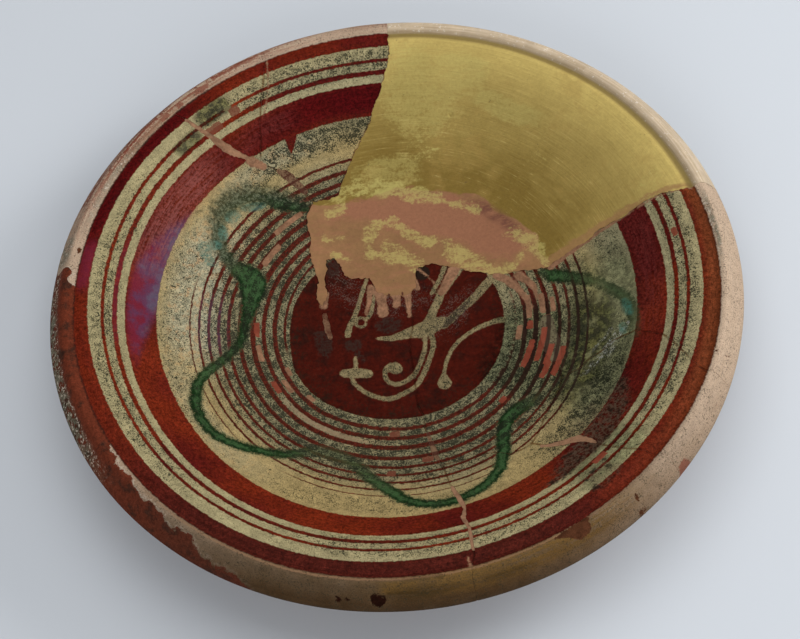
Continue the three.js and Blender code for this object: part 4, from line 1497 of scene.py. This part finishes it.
def slabPiece(name, faces, layers, tops, bottom, materials, faceMaterial):
    # a closed slab: faces with layer 0 lie on tops[0], those of layer 1 on tops[1], all over one bottom
    used, local = np.unique(faces, return_inverse=True)
    local = local.reshape(-1, 3)
    count = len(used)
    sides = np.concatenate([local[:, [0, 1]], local[:, [1, 2]], local[:, [2, 0]]])
    sideLayer = np.tile(layers, 3)
    keys = np.sort(sides, axis=1) @ np.array([count, 1])

    def openSides(chosen):
        _, first, number = np.unique(keys[chosen], return_index=True, return_counts=True)
        return sides[chosen][first[number == 1]], sideLayer[chosen][first[number == 1]]

    outer, outerLayer = openSides(np.arange(len(sides)))
    step, _ = openSides(np.flatnonzero(sideLayer == 0))

    def inward(edges):
        way = np.zeros((count, 2))
        run = plan[used[edges[:, 1]]] - plan[used[edges[:, 0]]]
        left = np.stack([-run[:, 1], run[:, 0]], 1) / (np.linalg.norm(run, axis=1)[:, None] + tiny)
        np.add.at(way, edges[:, 0], left)
        np.add.at(way, edges[:, 1], left)
        size = np.linalg.norm(way, axis=1)[:, None]
        return breaks["gap"] * way / np.maximum(size, leastTurn) * (size > leastTurn)

    flat = plan[used]
    slack = inward(outer)
    points = np.vstack([
        np.column_stack([flat + inward(step), tops[0][used]]),
        np.column_stack([flat + slack, tops[1][used]]),
        np.column_stack([flat + slack, bottom[used]])])
    upper, lower, base = 0, count, 2 * count
    shelf = np.where(layers[:, None] == 0, upper, lower) + local
    walls = []

    def wall(edges, low, high):
        u, v = edges[:, 0], edges[:, 1]
        walls.append(np.stack([low + u, low + v, high + v], 1))
        walls.append(np.stack([low + u, high + v, high + u], 1))

    wall(outer[outerLayer == 0], base, upper)
    wall(outer[outerLayer == 1], base, lower)
    outerKeys = set(map(tuple, np.sort(outer, axis=1)))
    inner = np.array([e for e in step if tuple(sorted(e)) not in outerKeys], int).reshape(-1, 2)
    wall(inner, lower, upper)
    allFaces = np.vstack([shelf, base + local[:, ::-1], *walls])
    index = np.concatenate([faceMaterial["top"][layers], faceMaterial["under"](faces),
                            faceMaterial["wall"](np.vstack(walls) % count, used)])
    return writePiece(name, points, allFaces, index, materials, used)


def dress(piece, node):
    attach(piece, "root")
    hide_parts(node)


def sherdUnder(faces):
    return np.where(radiusOf[faces].mean(1) > lipUnderside, 0, 1)


def sherdWall(corners, used):
    return np.where(radiusOf[used[corners]].min(1) > section["rimRadius"] - rimBand, 0, 1)


def allFirst(corners, used=None):
    return np.zeros(len(corners), int)


# the material's number for each face: on top by layer, below, and on the walls
sherdLooks = {"top": np.array([0, 1]), "under": sherdUnder, "wall": sherdWall}
plainLooks = {"top": np.array([0, 0]), "under": allFirst, "wall": allFirst}
puttyBase = innerHeight - puttyForm["depth"]
for name in outlines:
    mine = pieceOf == name
    layers = (fillerOf[mine] != "").astype(int)
    if name == "plaster_infill":
        top, looks, materials, slot = infillTop, plainLooks, [plasterMaterial], "painted_plaster"
    else:
        top, looks, materials, slot = sherdTop, sherdLooks, [slipMaterial, clayMaterial], "slip_glaze"
    tops = [top, puttyBase - puttyForm["seat"]]
    piece = slabPiece(name + "_face", triangles[mine], layers, tops, underside, materials, looks)
    dress(piece, name)
    print("piece:", piece.name, len(piece.data.polygons), "faces")

puttyTop = innerHeight + puttyForm["relief"] * sherdRelief() - puttyForm["drop"] + sway(*puttyForm["crown"])
for name in fillers:
    mine = fillerOf == name
    look = puttyOf.get(name, "tan_putty")
    layers = np.zeros(mine.sum(), int)
    materials = [puttyMaterials[look]]
    piece = slabPiece(name + "_face", triangles[mine], layers, [puttyTop, puttyTop], puttyBase, materials,
                      plainLooks)
    dress(piece, name)
    print("piece:", piece.name, len(piece.data.polygons), "faces")

# Stage, light and camera

studio = {
    "floor": shade(0.58, 0.61, 0.65), "floorRough": 0.9, "floorSize": 6.0,
    "floorCloud": (1.5, 4.0, 0.6), "floorSwing": 0.04, "floorGrain": 300.0, "floorBump": 2e-5,
    "floorSpecular": 0.2, "world": shade(0.94, 0.97, 1.0), "worldStrength": 0.33,
    # softboxes as place, aim, width, length and watts
    "lamps": [((0.1, 0.3, 1.4), (0, 0, 0.03), 1.3, 1.3, 9), ((1.3, 0.3, 0.8), (0, 0, 0.03), 0.7, 0.7, 13),
              ((-0.15, -1.5, 0.95), (0, -0.1, 0), 1.0, 1.0, 12)],
    "elevation": 57.18, "roll": -7.71, "distance": 1.0, "aside": 0.00125, "above": -0.01758,
    "ringHeight": 0.052, "lens": 98.34, "sensor": 36.0,
}


def floorMaterial():
    made, place, _ = startMaterial("studio paper")
    s = studio
    tone = toned(s["floor"], noise(place, *s["floorCloud"]), s["floorSwing"])
    endMaterial(made, tone, s["floorRough"], noise(place, s["floorGrain"]), s["floorBump"],
                s["floorSpecular"])
    return made


def makeStage():
    half = studio["floorSize"] / 2
    mesh = bpy.data.meshes.new("studio_floor")
    mesh.from_pydata([(-half, -half, 0), (half, -half, 0), (half, half, 0), (-half, half, 0)], [],
                     [(0, 1, 2, 3)])
    mesh.materials.append(floorMaterial())
    floor = bpy.data.objects.new("studio_floor", mesh)
    bpy.context.collection.objects.link(floor)
    for number, (spot, aim, width, length, watts) in enumerate(studio["lamps"]):
        data = bpy.data.lights.new(f"softbox_{number}", "AREA")
        data.shape = "RECTANGLE"
        data.size = width
        data.size_y = length
        data.energy = watts
        lamp = bpy.data.objects.new(f"softbox_{number}", data)
        lamp.location = spot
        lamp.rotation_euler = (Vector(aim) - Vector(spot)).to_track_quat("-Z", "Y").to_euler()
        bpy.context.collection.objects.link(lamp)
    world = bpy.data.worlds.new("studio")
    world.use_nodes = True
    background = world.node_tree.nodes["Background"]
    background.inputs["Color"].default_value = studio["world"]
    background.inputs["Strength"].default_value = studio["worldStrength"]
    bpy.context.scene.world = world


def makeCamera():
    rise, roll = math.radians(studio["elevation"]), math.radians(studio["roll"])
    ahead = Vector((0, math.cos(rise), -math.sin(rise)))
    right, up = Vector((1, 0, 0)), Vector((0, math.sin(rise), math.cos(rise)))
    eye = Vector((0, 0, studio["ringHeight"])) - ahead * studio["distance"]
    eye += right * studio["aside"] + up * studio["above"]
    across = right * math.cos(roll) + up * math.sin(roll)
    upright = up * math.cos(roll) - right * math.sin(roll)
    data = bpy.data.cameras.new("camera")
    data.lens = studio["lens"]
    data.sensor_width = studio["sensor"]
    camera = bpy.data.objects.new("camera", data)
    camera.matrix_world = Matrix.Translation(eye) @ Matrix((across, upright, -ahead)).transposed().to_4x4()
    bpy.context.collection.objects.link(camera)
    bpy.context.scene.camera = camera


makeStage()
makeCamera()
bpy.context.scene.view_settings.view_transform = "Standard"
